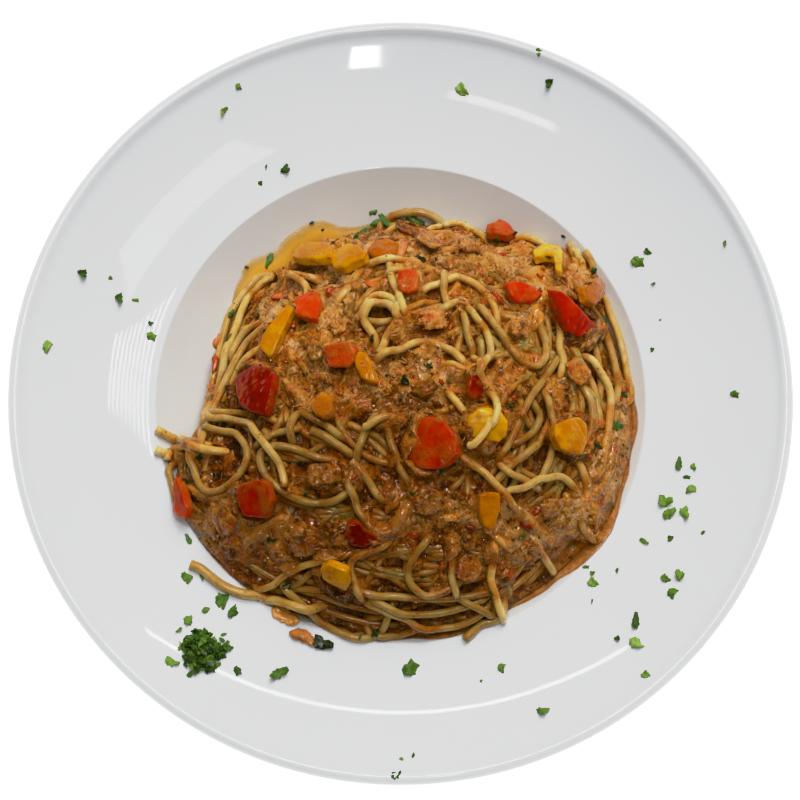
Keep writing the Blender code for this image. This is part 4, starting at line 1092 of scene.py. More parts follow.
def pepper_piece(name):
    """A cut piece of pepper: its face from the photograph, thick, rounded and uneven."""
    outline, thickness_mm, bearing, lean, hue, sauced = PEPPERS[name]
    thickness = thickness_mm * MM
    middle, _, normal = solid_frame(name)
    bearing = math.radians(bearing)
    tilt = Matrix.Rotation(math.radians(lean), 3, Vector((-math.sin(bearing), math.cos(bearing), 0)))
    facing = np.array(tilt @ Vector(normal))
    face_middle = middle + facing * thickness * 0.5
    rays = sight_line(spots(outline))
    reach = ((face_middle - EYE) @ facing) / (rays @ facing)
    piece = flat_face(EYE + rays * reach[:, None])
    in_edit_mode(piece, lambda: bpy.ops.mesh.inset(thickness=0.0009, depth=0.0))
    if piece.data.polygons[0].normal.dot(Vector(facing)) < 0:
        in_edit_mode(piece, bpy.ops.mesh.flip_normals)
    thicken(piece, thickness)
    in_edit_mode(piece, bpy.ops.mesh.quads_convert_to_tris, outward)
    melt_together(piece, 0.00045, 9)
    points = coordinates(piece.data)
    arms = points - points.mean(axis=0)
    long_way = np.linalg.svd(arms - np.outer(arms @ facing, facing), full_matrices=False)[2][0]
    bow = (arms @ long_way) ** 2 * 11 + (arms @ np.cross(facing, long_way)) ** 2 * 16
    points = points - facing * np.minimum(bow - bow.mean(), 0.0014)[:, None]
    set_coordinates(piece.data, points)
    dents = 0.00034 * ripple(points, 0.0046, thickness_mm, 2) + 0.00012 * ripple(points, 0.0014, 3.0, 1)
    points = points + vertex_normals(piece.data) * dents[:, None]
    points[:, 2] -= max(0.0, points[:, 2].max() - FOOD_CEILING)
    set_coordinates(piece.data, points)
    facing_up = vertex_normals(piece.data) @ facing
    set_attribute(piece.data, "cut", 1 - smoothstep((facing_up - 0.25) / 0.5))
    set_attribute(piece.data, "hue", hue + 0.34 * ripple(points, 0.0060, thickness_mm + 7.0, 1))
    smear = 0.55 * ripple(points, 0.0044, hue * 9.0 + 3.0, 3)
    set_attribute(piece.data, "sauced", sauced + smear + 0.25 * (1 - facing_up))
    colour = name.split("_")[0]
    finish_piece(piece, name + "_piece", colour, colour + "_pepper", name)


# ---------------------------------------------------------------- strands
def surface_line(plan):
    """A plan route as evenly spaced points of the bare heap, with normals."""
    dense = catmull(plan)
    points, _ = on_surface(core_height, dense[:, 0], dense[:, 1])
    even = evenly(points, STRAND_STEP)
    return on_surface(core_height, even[:, 0], even[:, 1])


def stretched(plan, start, end):
    """A route made longer at each end that dives into the sauce, without leaving the heap."""
    plan = list(plan)

    def beyond(last, before):
        step = last - before
        spot = last + step / np.linalg.norm(step) * DIVE_LENGTH
        arm = spot - HEAP_CENTRE
        reach = heap_radius(math.atan2(arm[1], arm[0])) - 0.0060
        return HEAP_CENTRE + arm * min(1.0, reach / np.linalg.norm(arm))

    if start:
        plan.insert(0, beyond(plan[0], plan[1]))
    if end:
        plan.append(beyond(plan[-1], plan[-2]))
    return np.array(plan)


def eased(values, passes):
    """Values along a strand, smoothed by their neighbours."""
    for _ in range(passes):
        padded = np.concatenate([values[:1], values, values[-1:]])
        values = 0.25 * padded[:-2] + 0.5 * padded[1:-1] + 0.25 * padded[2:]
    return values


def inside_outline(x, y, corners, margin):
    """Which points lie within an outline seen from above, grown by a margin."""
    middle = corners.mean(axis=0)
    arms = corners - middle
    arms = arms * (1 + margin / np.linalg.norm(arms, axis=1))[:, None]
    grown = middle + arms
    held = np.zeros(len(x), bool)
    for (x0, y0), (x1, y1) in zip(grown, np.roll(grown, -1, axis=0)):
        crosses = (y0 > y) != (y1 > y)
        with np.errstate(divide="ignore", invalid="ignore"):
            at = (x1 - x0) * (y - y0) / (y1 - y0) + x0
        held ^= crosses & (x < at)
    return held


def depth_inside(plan, corners):
    """How far plan positions lie inside an outline, below 0 outside it."""
    nearest = np.full(len(plan), 1.0)
    for start, end in zip(corners, np.roll(corners, -1, axis=0)):
        edge = end - start
        along = np.clip((plan - start) @ edge / (edge @ edge), 0, 1)
        nearest = np.minimum(nearest, np.linalg.norm(plan - start - along[:, None] * edge, axis=1))
    return np.where(inside_outline(plan[:, 0], plan[:, 1], corners, 0.0), nearest, -nearest)


def pepper_footprints():
    """Plan outlines of the pepper pieces and the height of each one's top over the heap."""
    prints = {}
    for name, (outline, thickness_mm, *_) in PEPPERS.items():
        middle, base, normal = solid_frame(name)
        x, y = place_on(core_height, spots(outline), thickness_mm * MM)
        top = (middle - base) @ normal + thickness_mm * MM / 2
        prints[name] = (np.stack([x, y], axis=1), top)
    return prints


class Heap:
    """The strands laid so far: where each passes over the bare heap, and how high."""

    def __init__(self):
        self.bases = []
        self.levels = []
        self.strands = []
        self.footprints = pepper_footprints()
        self.tree = None

    def settle(self, name, plan, level, dives, wander, seed, shown):
        """A strand over those below it and under the peppers: its bases, levels, centres and how far it dives."""
        start, end = dives
        bases, normals = surface_line(stretched(plan, start, end))
        steps = np.arange(len(bases)) * STRAND_STEP
        need = level + wander * ripple(bases, 0.016, seed, 1)
        if self.bases:
            if self.tree is None:
                self.tree = tree_of(self.bases)
            for index, base in enumerate(bases):
                for _, other, gap in self.tree.find_range(base, 2 * STRAND_RADIUS):
                    over = math.sqrt(CROSSING ** 2 - min(gap, CROSSING) ** 2)
                    need[index] = max(need[index], self.levels[other] + over)
        if not shown:
            need = np.minimum(need, FILLER_TOP)
        for piece, (corners, top) in self.footprints.items():
            held = inside_outline(bases[:, 0], bases[:, 1], corners, 0.0012)
            if OVER.get(name) == piece:
                need[held] = np.maximum(need[held], top + STRAND_RADIUS * 0.9)
            else:
                need[held] = np.minimum(need[held], -0.0012)
        levels = need
        for _ in range(6):
            levels = np.maximum(need, eased(levels, 5)) * 0.5 + eased(levels, 5) * 0.5
        sunk = np.zeros(len(bases))
        for dive, along in ((start, steps), (end, steps[-1] - steps)):
            if dive:
                sunk += (1 - smoothstep(along / DIVE_LENGTH)) * DIVE_DEPTH
        levels = eased(levels, 3) - sunk
        centres = bases + normals * levels[:, None]
        floor = plate_height(centres[:, 0], centres[:, 1]) + STRAND_RADIUS + 0.0002
        centres[:, 2] = np.minimum(np.maximum(centres[:, 2], floor), HEAP_CEILING - STRAND_RADIUS)
        return bases, levels, centres, sunk

    def lay(self, name, plan, level, dives, wander, seed, route=None):
        """Lay a strand; one with a photographed route is moved until its middle lies on that route."""
        shown = route is not None
        laid = self.settle(name, plan, level, dives, wander, seed, shown)
        for _ in range(2 if shown else 0):
            bases, _, centres, _ = laid
            nearest = np.argmin(np.linalg.norm(bases[None, :, :2] - plan[:, None], axis=2), axis=1)
            rays = sight_line(route)
            seen = EYE + rays * ((centres[nearest, 2] - EYE[2]) / rays[:, 2])[:, None]
            shift = np.clip(seen - centres[nearest], -0.0022, 0.0022)[:, :2]
            plan = plan + np.stack([eased(shift[:, 0], 2), eased(shift[:, 1], 2)], axis=1)
            laid = self.settle(name, plan, level, dives, wander, seed, shown)
        bases, levels, centres, sunk = laid
        self.strands.append((name, centres, shown, sunk))
        self.bases += [Vector(base) for base in bases]
        self.levels += list(levels)
        self.tree = None

    def above_sauce(self, least, most):
        """Middles of the strands in sight, by how far they have dived."""
        return [
            centre for _, centres, shown, sunk in self.strands if shown
            for centre, down in zip(centres, sunk) if least < down < most
        ]


def arm(angle):
    return np.array((math.cos(angle), math.sin(angle)))


def filler_plan(index, draw):
    """A buried strand: wound round the heap's side, or curled anyhow nearer the middle."""
    plan = []
    if index % 3:
        share = (0.94, 0.80, 0.62, 0.88, 0.97, 0.72)[index % 6] + draw.uniform(-0.05, 0.04)
        start = TURN * index * 0.381966 + draw.uniform(-0.2, 0.2)
        span = draw.uniform(0.55, 1.05) / share
        drift = draw.uniform(-0.30, 0.16)
        bow = draw.uniform(-0.12, 0.12)
        for step in range(FILLER_POINTS):
            along = step / (FILLER_POINTS - 1)
            angle = start + span * along
            out = min(0.975, share + drift * along + bow * math.sin(along * math.pi))
            plan.append(HEAP_CENTRE + arm(angle) * (heap_radius(angle) - CORE_INSET) * out)
    else:
        angle = draw.uniform(0, TURN)
        spot = HEAP_CENTRE + arm(angle) * heap_radius(angle) * math.sqrt(draw.uniform(0, 0.55))
        heading = draw.uniform(0, TURN)
        curl = draw.uniform(0.25, 1.3) * draw.choice((-1, 1))
        for step in range(FILLER_POINTS):
            plan.append(spot)
            heading += curl * 0.5
            out = spot + arm(heading) * 0.0095 - HEAP_CENTRE
            reach = (heap_radius(math.atan2(out[1], out[0])) - CORE_INSET) * 0.97
            spot = HEAP_CENTRE + out * min(1, reach / np.linalg.norm(out))
    return np.array(plan)


def lay_strands():
    heap = Heap()
    draw = random.Random(23)
    for index in range(FILLERS):
        level = draw.uniform(-3.4, -1.2) * MM
        heap.lay(f"filler_{index}", filler_plan(index, draw), level, (True, True), 0.0011, index * 3.1)
    for index, (name, (level_mm, _, written)) in enumerate(STRANDS.items()):
        route = spots(written)
        plan = np.stack(place_on(core_height, route, level_mm * MM + STRAND_RADIUS), axis=1)
        dives = (name not in CUT_STARTS, name not in CUT_ENDS)
        heap.lay(name, plan, level_mm * MM, dives, 0.0003, index * 1.7, route)
    return heap


def strand_piece(heap, mass, name, shown, sides):
    """Strands as round tubes with cut ends; 'coat' says how deep in sauce each point is, and darkens the lower sides
    as sauce stain and painted shade.
    """
    curve = bpy.data.curves.new("spaghetti", "CURVE")
    curve.dimensions = "3D"
    curve.bevel_depth = STRAND_RADIUS
    curve.bevel_resolution = sides
    curve.use_fill_caps = True
    draw = random.Random(5)
    chosen = [(strand, centres) for strand, centres, is_shown, _ in heap.strands if is_shown == shown]
    for strand, centres in chosen:
        spline = curve.splines.new("POLY")
        spline.points.add(len(centres) - 1)
        spline.points.foreach_set("co", np.column_stack([centres, np.ones(len(centres))]).ravel())
        thick = draw.uniform(0.96, 1.05) + 0.03 * ripple(centres, 0.01, 4.0, 1)
        spline.points.foreach_set("radius", thick * WIDE_STRANDS.get(strand, 1.0))
    pick(put_in("spaghetti", curve))
    bpy.ops.object.convert(target="MESH")
    piece = bpy.context.object
    in_edit_mode(piece, lambda: bpy.ops.mesh.remove_doubles(threshold=0.000005), outward)
    ground = coordinates(mass.data)
    normals = vertex_normals(mass.data)
    tree = tree_of(ground)
    points = coordinates(piece.data)
    coat = np.empty(len(points))
    for index, point in enumerate(points):
        _, near, _ = tree.find(point)
        coat[index] = (point - ground[near]) @ normals[near]
    soft = 0.0012 * ripple(points, 0.0055, 9.0, 3)
    set_attribute(piece.data, "coat", 1 - smoothstep((coat + soft - 0.0002) / 0.0026))
    middles = np.vstack([centres for _, centres in chosen])
    if shown:
        stains_and_shade = np.concatenate([np.full(len(centres), STRANDS[strand][1]) for strand, centres in chosen])
    else:
        # Buried strands get stain and painted shade: at least 0.3, more towards the front.
        stains_and_shade = 0.3 + 0.6 * browned_and_shaded(middles)
    tree = tree_of(middles)
    brown = np.array([stains_and_shade[tree.find(point)[1]] for point in points])
    finish_piece(piece, name, "pasta", "pasta", "spaghetti", brown=brown)


# ---------------------------------------------------------------- sauce
MUSH_CELLS = 298


def zone(bases, px, py, across, down):
    """A soft patch of the heap: 1 at a photograph point, and less the farther from it."""
    x, y = place_on(core_height, [(px, py)])
    far = ((bases[:, 0] - x[0]) / across) ** 2 + ((bases[:, 1] - y[0]) / down) ** 2
    return np.exp(-far / PIXEL ** 2)


def disc_of_grid(u, v):
    """A square's points moved to a disc: share of the way out, and angle."""
    share = np.maximum(np.abs(u), np.abs(v))
    wide = np.abs(u) >= np.abs(v)
    with np.errstate(divide="ignore", invalid="ignore"):
        angle_wide = math.pi / 4 * np.where(u != 0, v / u, 0) + np.where(u < 0, math.pi, 0)
        angle_tall = math.pi / 2 - math.pi / 4 * np.where(v != 0, u / v, 0) + np.where(v < 0, math.pi, 0)
    return share, np.where(wide, angle_wide, angle_tall)


def even_share(share):
    """Share of the heap's reach at an even share of the way down its side."""
    reach = np.linspace(0, 1, 400)
    height = 0.42 * (1 - reach ** 2.3) ** 0.85
    walked = np.concatenate([[0], np.cumsum(np.hypot(np.diff(reach), np.diff(height)))])
    return np.interp(share * walked[-1], walked, reach)


def sauce_cover(bases):
    """How far the sauce covers the strands, 0 to 1, over points of the bare heap."""
    cover = 0.5 + 0.22 * ripple(bases, 0.014, 21.0, 2)
    for *place, weight in SAUCE_ZONES:
        cover += 0.5 * weight * zone(bases, *place)
    return smoothstep(cover)


def mush_piece(heap):
    """The sauced mass between the strands: a grid drawn over the heap and pushed out by lumps."""
    bpy.ops.mesh.primitive_grid_add(x_subdivisions=MUSH_CELLS, y_subdivisions=MUSH_CELLS, size=2)
    piece = bpy.context.object
    flat = coordinates(piece.data)
    share, angle = disc_of_grid(flat[:, 0], flat[:, 1])
    reach = (heap_radius(angle) - CORE_INSET) * even_share(share) * 0.9995
    bases, normals = on_surface(core_height, *from_centre(angle, reach))
    warp = bases + 0.0026 * np.stack([ripple(bases, 0.0055, 30.0 + axis, 2) for axis in range(3)], axis=1)
    cover = sauce_cover(bases)
    push = SAUCE_LOW + (SAUCE_HIGH - SAUCE_LOW) * cover
    rough = np.ones(len(bases))
    for place in CALM_ZONES:
        rough = np.minimum(rough, 1 - 0.85 * zone(bases, *place))
    push += (0.0011 * ripple(bases, 0.010, 2.0, 3) + 0.0019 * (domes(warp, 0.0058, 3.0) - 0.55)) * rough
    push += (0.0006 * (domes(warp, 0.0027, 8.0) - 0.6) + 0.0005 * ripple(warp, 0.0021, 5.0, 2)) * rough
    push += 0.0002 * ripple(warp, 0.0011, 15.0, 1) * rough
    for px, py, radius, depth in HOLLOWS:
        centre, _ = on_surface(core_height, *place_on(core_height, [(px, py)]))
        far = np.linalg.norm(bases - centre[0], axis=1) / (radius * PIXEL)
        push -= 1.3 * depth * MM * np.exp(-far ** 2)
    tree = tree_of(heap.above_sauce(-1, 0.0010))
    wander = 0.0007 * ripple(bases, 0.0050, 11.0, 2)
    drown = smoothstep(0.5 + 1.3 * (ripple(bases, 0.0075, 51.0, 2) + 1.25 * (cover - 0.66)))
    cap = np.full(len(bases), 1.0)
    drape = np.full(len(bases), -1.0)
    for index in range(len(bases)):
        point = bases[index] + normals[index] * 0.0010
        for near, _, _ in tree.find_range(point, 0.0045):
            arm = np.array(near) - bases[index]
            level = float(arm @ normals[index])
            aside = math.sqrt(max(0.0, float(arm @ arm) - level * level))
            cap[index] = min(cap[index], level - 0.0004 + wander[index] + max(0.0, aside - 0.0015) * 1.2)
            drape[index] = max(drape[index], level + 0.0016 - 0.25 * aside - 0.9 * max(0.0, aside - 0.0011))
    plain_rise = push.copy()
    for plunge in heap.above_sauce(0.0022, 0.0032):
        far = np.linalg.norm(bases - plunge, axis=1)
        push = np.maximum(push, -0.0002 - far * 0.35 + wander)
    lap = 0.0011 * ripple(bases, 0.0045, 17.0, 2)
    for corners, top in heap.footprints.values():
        inward = depth_inside(bases[:, :2], corners)
        near = inward > -0.0030
        inward, edge = inward[near], lap[near]
        collar = top - 0.0026 + edge * 1.4 - 2.2 * np.maximum(0, inward - 0.0004 - edge) + 1.3 * np.minimum(0, inward)
        push[near] = np.where(inward > 0.0004 + edge + 0.0015, push[near], np.maximum(push[near], collar))
    push = np.minimum(push, cap + 0.0050 * drown)
    knobs = 0.0013 * (domes(warp, 0.0046, 13.0) - 0.55) + 0.0003 * ripple(warp, 0.0021, 5.0, 1)
    push += np.maximum(0.0, drape + knobs * rough - push) * drown
    plain_rise += 0.9 * knobs * drown
    taper = smoothstep((1 - share) / 0.05)
    push = push * (0.25 + 0.75 * taper)
    points = bases + normals * push[:, None]
    floor = plate_height(points[:, 0], points[:, 1]) + 0.0004
    points[:, 2] = np.clip(points[:, 2], floor, HEAP_CEILING)
    set_coordinates(piece.data, points)
    # The 'rise' attribute darkens the sauce's low places in its finish: painted shade in the hollows.
    shown_rise = np.minimum(push, plain_rise + 0.0012)
    rise = np.clip((shown_rise + 0.0042) / 0.0064, 0, 1)
    set_attribute(piece.data, "rise", 0.62 + (rise - 0.62) * rough)
    set_attribute(piece.data, "calm", 1 - rough)
    close_below(piece)
    finish_piece(piece, "tuna_sauce_mass", "mush", "sauce", "spaghetti")
    return piece


def close_below(piece):
    """Carry the mass's edge down to the plate and in along it, so that the body is closed."""
    move = {"value": (0, 0, -0.001)}
    for share in (0.97, 0.80, 0.55):
        in_edit_mode(piece, pick_border, lambda: bpy.ops.mesh.extrude_edges_move(TRANSFORM_OT_translate=move))
        points = coordinates(piece.data)
        moved = np.array([vert.select for vert in piece.data.vertices])
        plan = points[moved, :2] - HEAP_CENTRE
        angle = np.arctan2(plan[:, 1], plan[:, 0])
        x, y = from_centre(angle, (heap_radius(angle) - CORE_INSET) * share)
        points[moved] = np.stack([x, y, plate_height(x, y) + 0.0003], axis=1)
        set_coordinates(piece.data, points)
    in_edit_mode(piece, pick_border, close_border)


def off_bearing(angle, bearing):
    """Degrees from a bearing, -180 to 180."""
    return (np.degrees(angle) - bearing + 180) % 360 - 180


def sauce_reach(angle):
    """How far the oily sauce spreads from the heap's centre: past it on two sides."""
    reach = heap_radius(angle) - SAUCE_TUCK + 0.0050
    for bearing, width, spread in SAUCE_SPREADS:
        reach = reach + (spread - 0.0030) * np.exp(-(off_bearing(angle, bearing) / width) ** 2)
    return reach


def oil_film():
    """A thin uneven film on the plate's wall, with a drawn, wavy edge."""
    bpy.ops.mesh.primitive_cylinder_add(vertices=24, radius=1.0, depth=1.0, end_fill_type="NOTHING")
    piece = bpy.context.object
    in_edit_mode(piece, lambda: bpy.ops.mesh.subdivide(number_cuts=25))
    in_edit_mode(piece, lambda: bpy.ops.mesh.remove_doubles(threshold=1e-7))
    raw = coordinates(piece.data)
    angle = np.arctan2(raw[:, 1], raw[:, 0])
    share = 1 - (0.5 - raw[:, 2]) ** 1.8
    ring = np.stack([np.cos(angle), np.sin(angle), np.zeros_like(angle)], axis=1)
    wave = 0.0022 * ripple(ring, 0.30, 3.0, 2) + 0.0006 * ripple(ring, 0.10, 5.0, 1)
    reach = sauce_reach(angle) + wave
    edge = np.stack(from_centre(angle, reach), axis=1)
    edge_radius = np.linalg.norm(edge, axis=1)
    radius = SAUCE_INNER + (edge_radius - SAUCE_INNER) * share
    plan = edge / edge_radius[:, None] * radius[:, None]
    thick = 0.0009 * np.sqrt(np.clip(1 - share ** 6, 0, 1)) + 0.00015
    dimple = 0.00015 * ripple(np.column_stack([plan, radius]), 0.006, 7.0, 2)
    height = plate_top(radius) + np.maximum(thick + dimple, 0.00006)
    set_coordinates(piece.data, np.column_stack([plan, height]))
    set_attribute(piece.data, "edge", (edge_radius - radius) / 0.012)
    set_attribute(piece.data, "oily", np.exp(-(off_bearing(angle, OIL_BEARING) / OIL_WIDTH) ** 4))
    in_edit_mode(piece, outward)
    if vertex_normals(piece.data)[:, 2].mean() < 0:
        in_edit_mode(piece, bpy.ops.mesh.flip_normals)
    thicken(piece, 0.0002)
    finish_piece(piece, "oil_film", "oil", "sauce", "sauce")


# ---------------------------------------------------------------- loose bits
def shred_templates():
    """Fibres of tuna: thin bars with tapered ends, straight or bent."""
    shapes = []
    for bend in (0.0, 0.10, -0.16):
        bar = drawn_out(4, [(-0.5, 0.12, 0, 0), (-0.2, 0.46, bend, 0.06), (0.25, 0.46, bend * 0.4, 0.06),
                            (0.5, 0.10, -bend, 0)])
        shapes.append(as_template(bar))
    return shapes


def crumb_templates():
    """Small lumps of sauce, each pressed out of round its own way."""
    draw = random.Random(3)
    shapes = []
    for _ in range(4):
        bpy.ops.mesh.primitive_ico_sphere_add(subdivisions=1, radius=0.5)
        lump = bpy.context.object
        for vert in lump.data.vertices:
            vert.co *= draw.uniform(0.72, 1.25)
        shapes.append(as_template(lump))
    return shapes


def curd_templates(fineness):
    """Larger ragged lumps of fish and tomato."""
    draw = random.Random(8)
    shapes = []
    for _ in range(6):
        bpy.ops.mesh.primitive_ico_sphere_add(subdivisions=fineness, radius=0.5)
        lump = bpy.context.object
        shift = Vector((draw.random(), draw.random(), draw.random())) * 9
        for vert in lump.data.vertices:
            way = vert.co * 3.4 + shift
            vert.co *= 0.95 + 0.75 * noise.noise(way) + 0.35 * noise.noise(way * 2.3)
        shapes.append(as_template(lump))
    return shapes


def leaf_templates(kinds, corners, seed):
    """Chopped leaf: lobes on one side and a straight cut on the other, curled, with thin walls."""
    draw = random.Random(seed)
    shapes = []
    for kind in range(kinds):
        bpy.ops.mesh.primitive_circle_add(vertices=corners, radius=0.5, fill_type="NGON")
        leaf = bpy.context.object
        lobes = [draw.uniform(-1.5, 1.5) for _ in range(draw.choice((2, 3, 3)))]
        slim = draw.choice((0.55, 0.75, 0.95))
        cut = draw.uniform(-0.34, -0.18)
        for vert in leaf.data.vertices:
            angle = math.atan2(vert.co.y, vert.co.x)
            reach = 0.25 + sum(0.20 * math.exp(-((angle - lobe) / 0.36) ** 2) for lobe in lobes)
            reach += 0.045 * math.sin(angle * 7 + kind) + draw.uniform(-0.02, 0.02)
            vert.co.x = max(math.cos(angle) * reach, cut + draw.uniform(-0.04, 0.04))
            vert.co.y = math.sin(angle) * reach * slim * 1.5
        in_edit_mode(leaf, lambda: bpy.ops.mesh.inset(thickness=0.09), bpy.ops.mesh.poke)
        curl = draw.uniform(0.5, 1.7) * draw.choice((-1, 1))
        twist = draw.uniform(-1.2, 1.2)
        phase = draw.uniform(0, 9)
        for vert in leaf.data.vertices:
            spot = vert.co * 3.4
            vert.co.z = curl * vert.co.y ** 2 + twist * vert.co.x * vert.co.y
            vert.co.z += 0.24 * noise.noise(Vector((spot.x + phase, spot.y, kind)))
        thicken(leaf, 0.055, 0)
        shapes.append(as_template(leaf))
    return shapes


def sample_mass(mass, heap, count, draw, low, clear):
    """Random points of the sauce mass above a share of its rise, kept off the strands that show."""
    points = coordinates(mass.data)
    normals = vertex_normals(mass.data)
    rise = attribute_of(mass.data, "rise")
    calm = attribute_of(mass.data, "calm")
    fit = (rise > low) & (normals[:, 2] > 0.12) & (calm < draw.uniform(0.1, 0.9, len(points)))
    chosen = draw.choice(np.nonzero(fit)[0], size=count * 2, replace=True)
    tree = tree_of(heap.above_sauce(-1, 0.0015))
    far = np.array([tree.find(points[index])[2] for index in chosen])
    chosen = chosen[far > clear][:count]
    jitter = draw.normal(0, 0.00025, (len(chosen), 3))
    return points[chosen] + jitter, normals[chosen], rise[chosen]


def flow(points, jitter, draw):
    """Directions of fibres: they run together over a few millimetres."""
    return ripple(points, 0.009, 14.0, 1) * 5.0 + draw.normal(0, jitter, len(points))


def shaded_by_rise(rise, low, gain, jitter, draw):
    """Tones that follow the sauce's rise, darker low down as painted shade, each a little out."""
    return low + gain * rise + draw.normal(0, jitter, len(rise))


def ragged_lumps(places, draw, lengths, shape, jitter, sink, tone, fineness):
    """Lumps of fish pressed into the sauce, each longest along the fibres' flow."""
    origins, normals, rise = places
    size = draw.uniform(*lengths, (len(origins), 1)) * np.array([shape]) * MM
    axes = laid_axes(normals, flow(origins, jitter, draw), size)
    origins = origins - normals * size[:, 2:] * sink
    return joined_copies(curd_templates(fineness), draw, origins, axes, shaded_by_rise(rise, *tone, draw))


def add_loose_bits(mass, heap):
    """Fish and sauce in four sizes: shreds, crumbs, curds and chunks."""
    draw = np.random.default_rng(41)
    origins, normals, rise = sample_mass(mass, heap, SHREDS, draw, 0.25, 0.0016)
    spans = ((1.0, 3.8), (0.30, 0.75), (0.25, 0.5))
    size = np.stack([draw.uniform(*span, len(origins)) for span in spans], axis=1) * MM
    tilt = unit(normals + draw.normal(0, 0.22, normals.shape))
    axes = laid_axes(tilt, flow(origins, 0.55, draw), size)
    shreds = joined_copies(shred_templates(), draw, origins, axes, shaded_by_rise(rise, 0.10, 0.65, 0.13, draw))
    finish_piece(shreds, "tuna_shreds", "shreds", "tuna", "spaghetti")

    origins, normals, rise = sample_mass(mass, heap, CRUMBS, draw, 0.1, 0.0014)
    size = draw.uniform(0.35, 1.05, (len(origins), 1)) * draw.uniform(0.7, 1.3, (len(origins), 3)) * MM
    origins = origins - normals * size[:, 2:] * 0.2
    axes = laid_axes(normals, draw.uniform(0, TURN, len(origins)), size)
    tones = shaded_by_rise(rise, 0.05, 0.65, 0.14, draw)
    pasta_mesh = bpy.data.objects["spaghetti_strands"].data
    held = draw.choice(len(pasta_mesh.vertices), STRAND_CRUMBS, replace=False)
    small = draw.uniform(0.25, 0.7, (STRAND_CRUMBS, 1)) * draw.uniform(0.8, 1.2, (STRAND_CRUMBS, 3)) * MM
    origins = np.vstack([origins, coordinates(pasta_mesh)[held]])
    held_axes = laid_axes(vertex_normals(pasta_mesh)[held], draw.uniform(0, TURN, STRAND_CRUMBS), small)
    tones = np.concatenate([tones, draw.uniform(0.3, 0.8, STRAND_CRUMBS)])
    crumbs = joined_copies(crumb_templates(), draw, origins, np.concatenate([axes, held_axes]), tones)
    finish_piece(crumbs, "sauce_crumbs", "crumbs", "sauce", "spaghetti")

    places = sample_mass(mass, heap, CURDS, draw, 0.3, 0.0024)
    curds = ragged_lumps(places, draw, (1.2, 3.4), (1.25, 0.8, 0.55), 0.5, 0.2, (0.05, 0.6, 0.13), 2)
    finish_piece(curds, "tuna_curds", "flakes", "tuna", "spaghetti")

    places = sample_mass(mass, heap, CHUNKS * 3, draw, 0.35, 0.0034)
    free = np.ones(len(places[0]), bool)
    for corners, _ in heap.footprints.values():
        free &= depth_inside(places[0][:, :2], corners) < -0.0022
    places = [values[free][:CHUNKS] for values in places]
    chunks = ragged_lumps(places, draw, (3.6, 6.4), (1.45, 0.85, 0.50), 0.6, 0.22, (0.35, 0.4, 0.10), 3)
    surface = coordinates(chunks.data)
    pressed = 0.00035 * ripple(surface, 0.0019, 6.0, 2)
    set_coordinates(chunks.data, surface + vertex_normals(chunks.data) * pressed[:, None])
    # Painted shade and light: each chunk is darker in its dents and lighter on its bumps.
    set_attribute(chunks.data, "tone", attribute_of(chunks.data, "tone") + 500 * pressed)
    finish_piece(chunks, "tuna_chunks", "flakes", "tuna", "spaghetti")


def first_seen(trees, pixel):
    """Where the line of sight through a photograph point first meets the food, and the normal there."""
    eye = Vector(EYE)
    direction = Vector(sight_line([pixel])[0]).normalized()
    hits = [tree.ray_cast(eye, direction) for tree in trees]
    spot, normal, _, _ = min((hit for hit in hits if hit[0] is not None), key=lambda hit: hit[3])
    if normal.dot(direction) > 0:
        normal = -normal
    return np.array(spot), np.array(normal)


def tuna_flakes():
    """Flakes of tuna: fibres side by side, melted into one uneven lump."""
    draw = random.Random(12)
    for index, (px, py, length, width, thickness, turn) in enumerate(TUNA, 1):
        name = f"tuna_{index:02d}"
        middle, _, normal = solid_frame(name)
        fibres = []
        for row in range(FIBRE_ROWS):
            aside = (row - (FIBRE_ROWS - 1) / 2) / FIBRE_ROWS
            for layer in range(2):
                reach = (0.5 - 0.9 * aside * aside) * draw.uniform(0.8, 1.05)
                rise = (0.16 - 0.5 * aside * aside) * (1 if layer else -0.6)
                slip = draw.uniform(-0.07, 0.07)
                fibres.append(drawn_out(6, [
                    (slip - reach, 0.035, aside, rise), (slip - reach * 0.5, 0.075, aside * 1.04, rise + 0.03),
                    (slip + reach * 0.4, 0.08, aside * 1.04, rise + 0.03), (slip + reach, 0.03, aside * 0.9, rise),
                ]))
        deselect()
        for bar in fibres:
            bar.select_set(True)
        bpy.context.view_layer.objects.active = fibres[0]
        bpy.ops.object.join()
        flake = bpy.context.object
        points = coordinates(flake.data) * np.array([length, width, thickness]) * MM
        axes = laid_axes(normal[None], np.array([math.radians(turn)]), np.ones((1, 3)))[0]
        set_coordinates(flake.data, points @ axes.T + middle)
        melt_together(flake, 0.00042, 2)
        surface = coordinates(flake.data)
        lumps = 0.0006 * (domes(surface, 0.0034, index * 2.0) - 0.6) + 0.0004 * ripple(surface, 0.0018, index, 2)
        surface = surface + vertex_normals(flake.data) * lumps[:, None]
        set_coordinates(flake.data, surface)
        # Painted shade and light: the flake is darker in its creases and lighter on its lumps.
        tone = 0.66 + 260 * lumps + 0.2 * ripple(surface, 0.005, index + 5.0, 2)
        set_attribute(flake.data, "tone", tone)
        finish_piece(flake, name + "_flake", "flakes", "tuna", name)


# ---------------------------------------------------------------- parsley
def rim_parsley(templates):
    """Chopped parsley scattered on the plate's rim, each bit where the photograph has it."""
    draw = np.random.default_rng(17)
    px, py, length, width, turn = np.array(RIM_PARSLEY, float).T
    points, normals = on_surface(plate_height, *place_on(plate_height, np.stack([px, py], axis=1)))
    sizes = np.stack([length, width, (length + width) / 2], axis=1) * MM
    origins = points + normals * (sizes[:, 2:] * 0.16 + 0.0001)
    axes = laid_axes(normals, np.radians(turn), sizes * 1.06)
    tones = np.clip(draw.normal(0.52, 0.16, len(points)), 0.1, 0.95)
    piece = joined_copies(templates, draw, origins, axes, tones)
    finish_piece(piece, "rim_parsley", "leaf", "parsley", "plate")


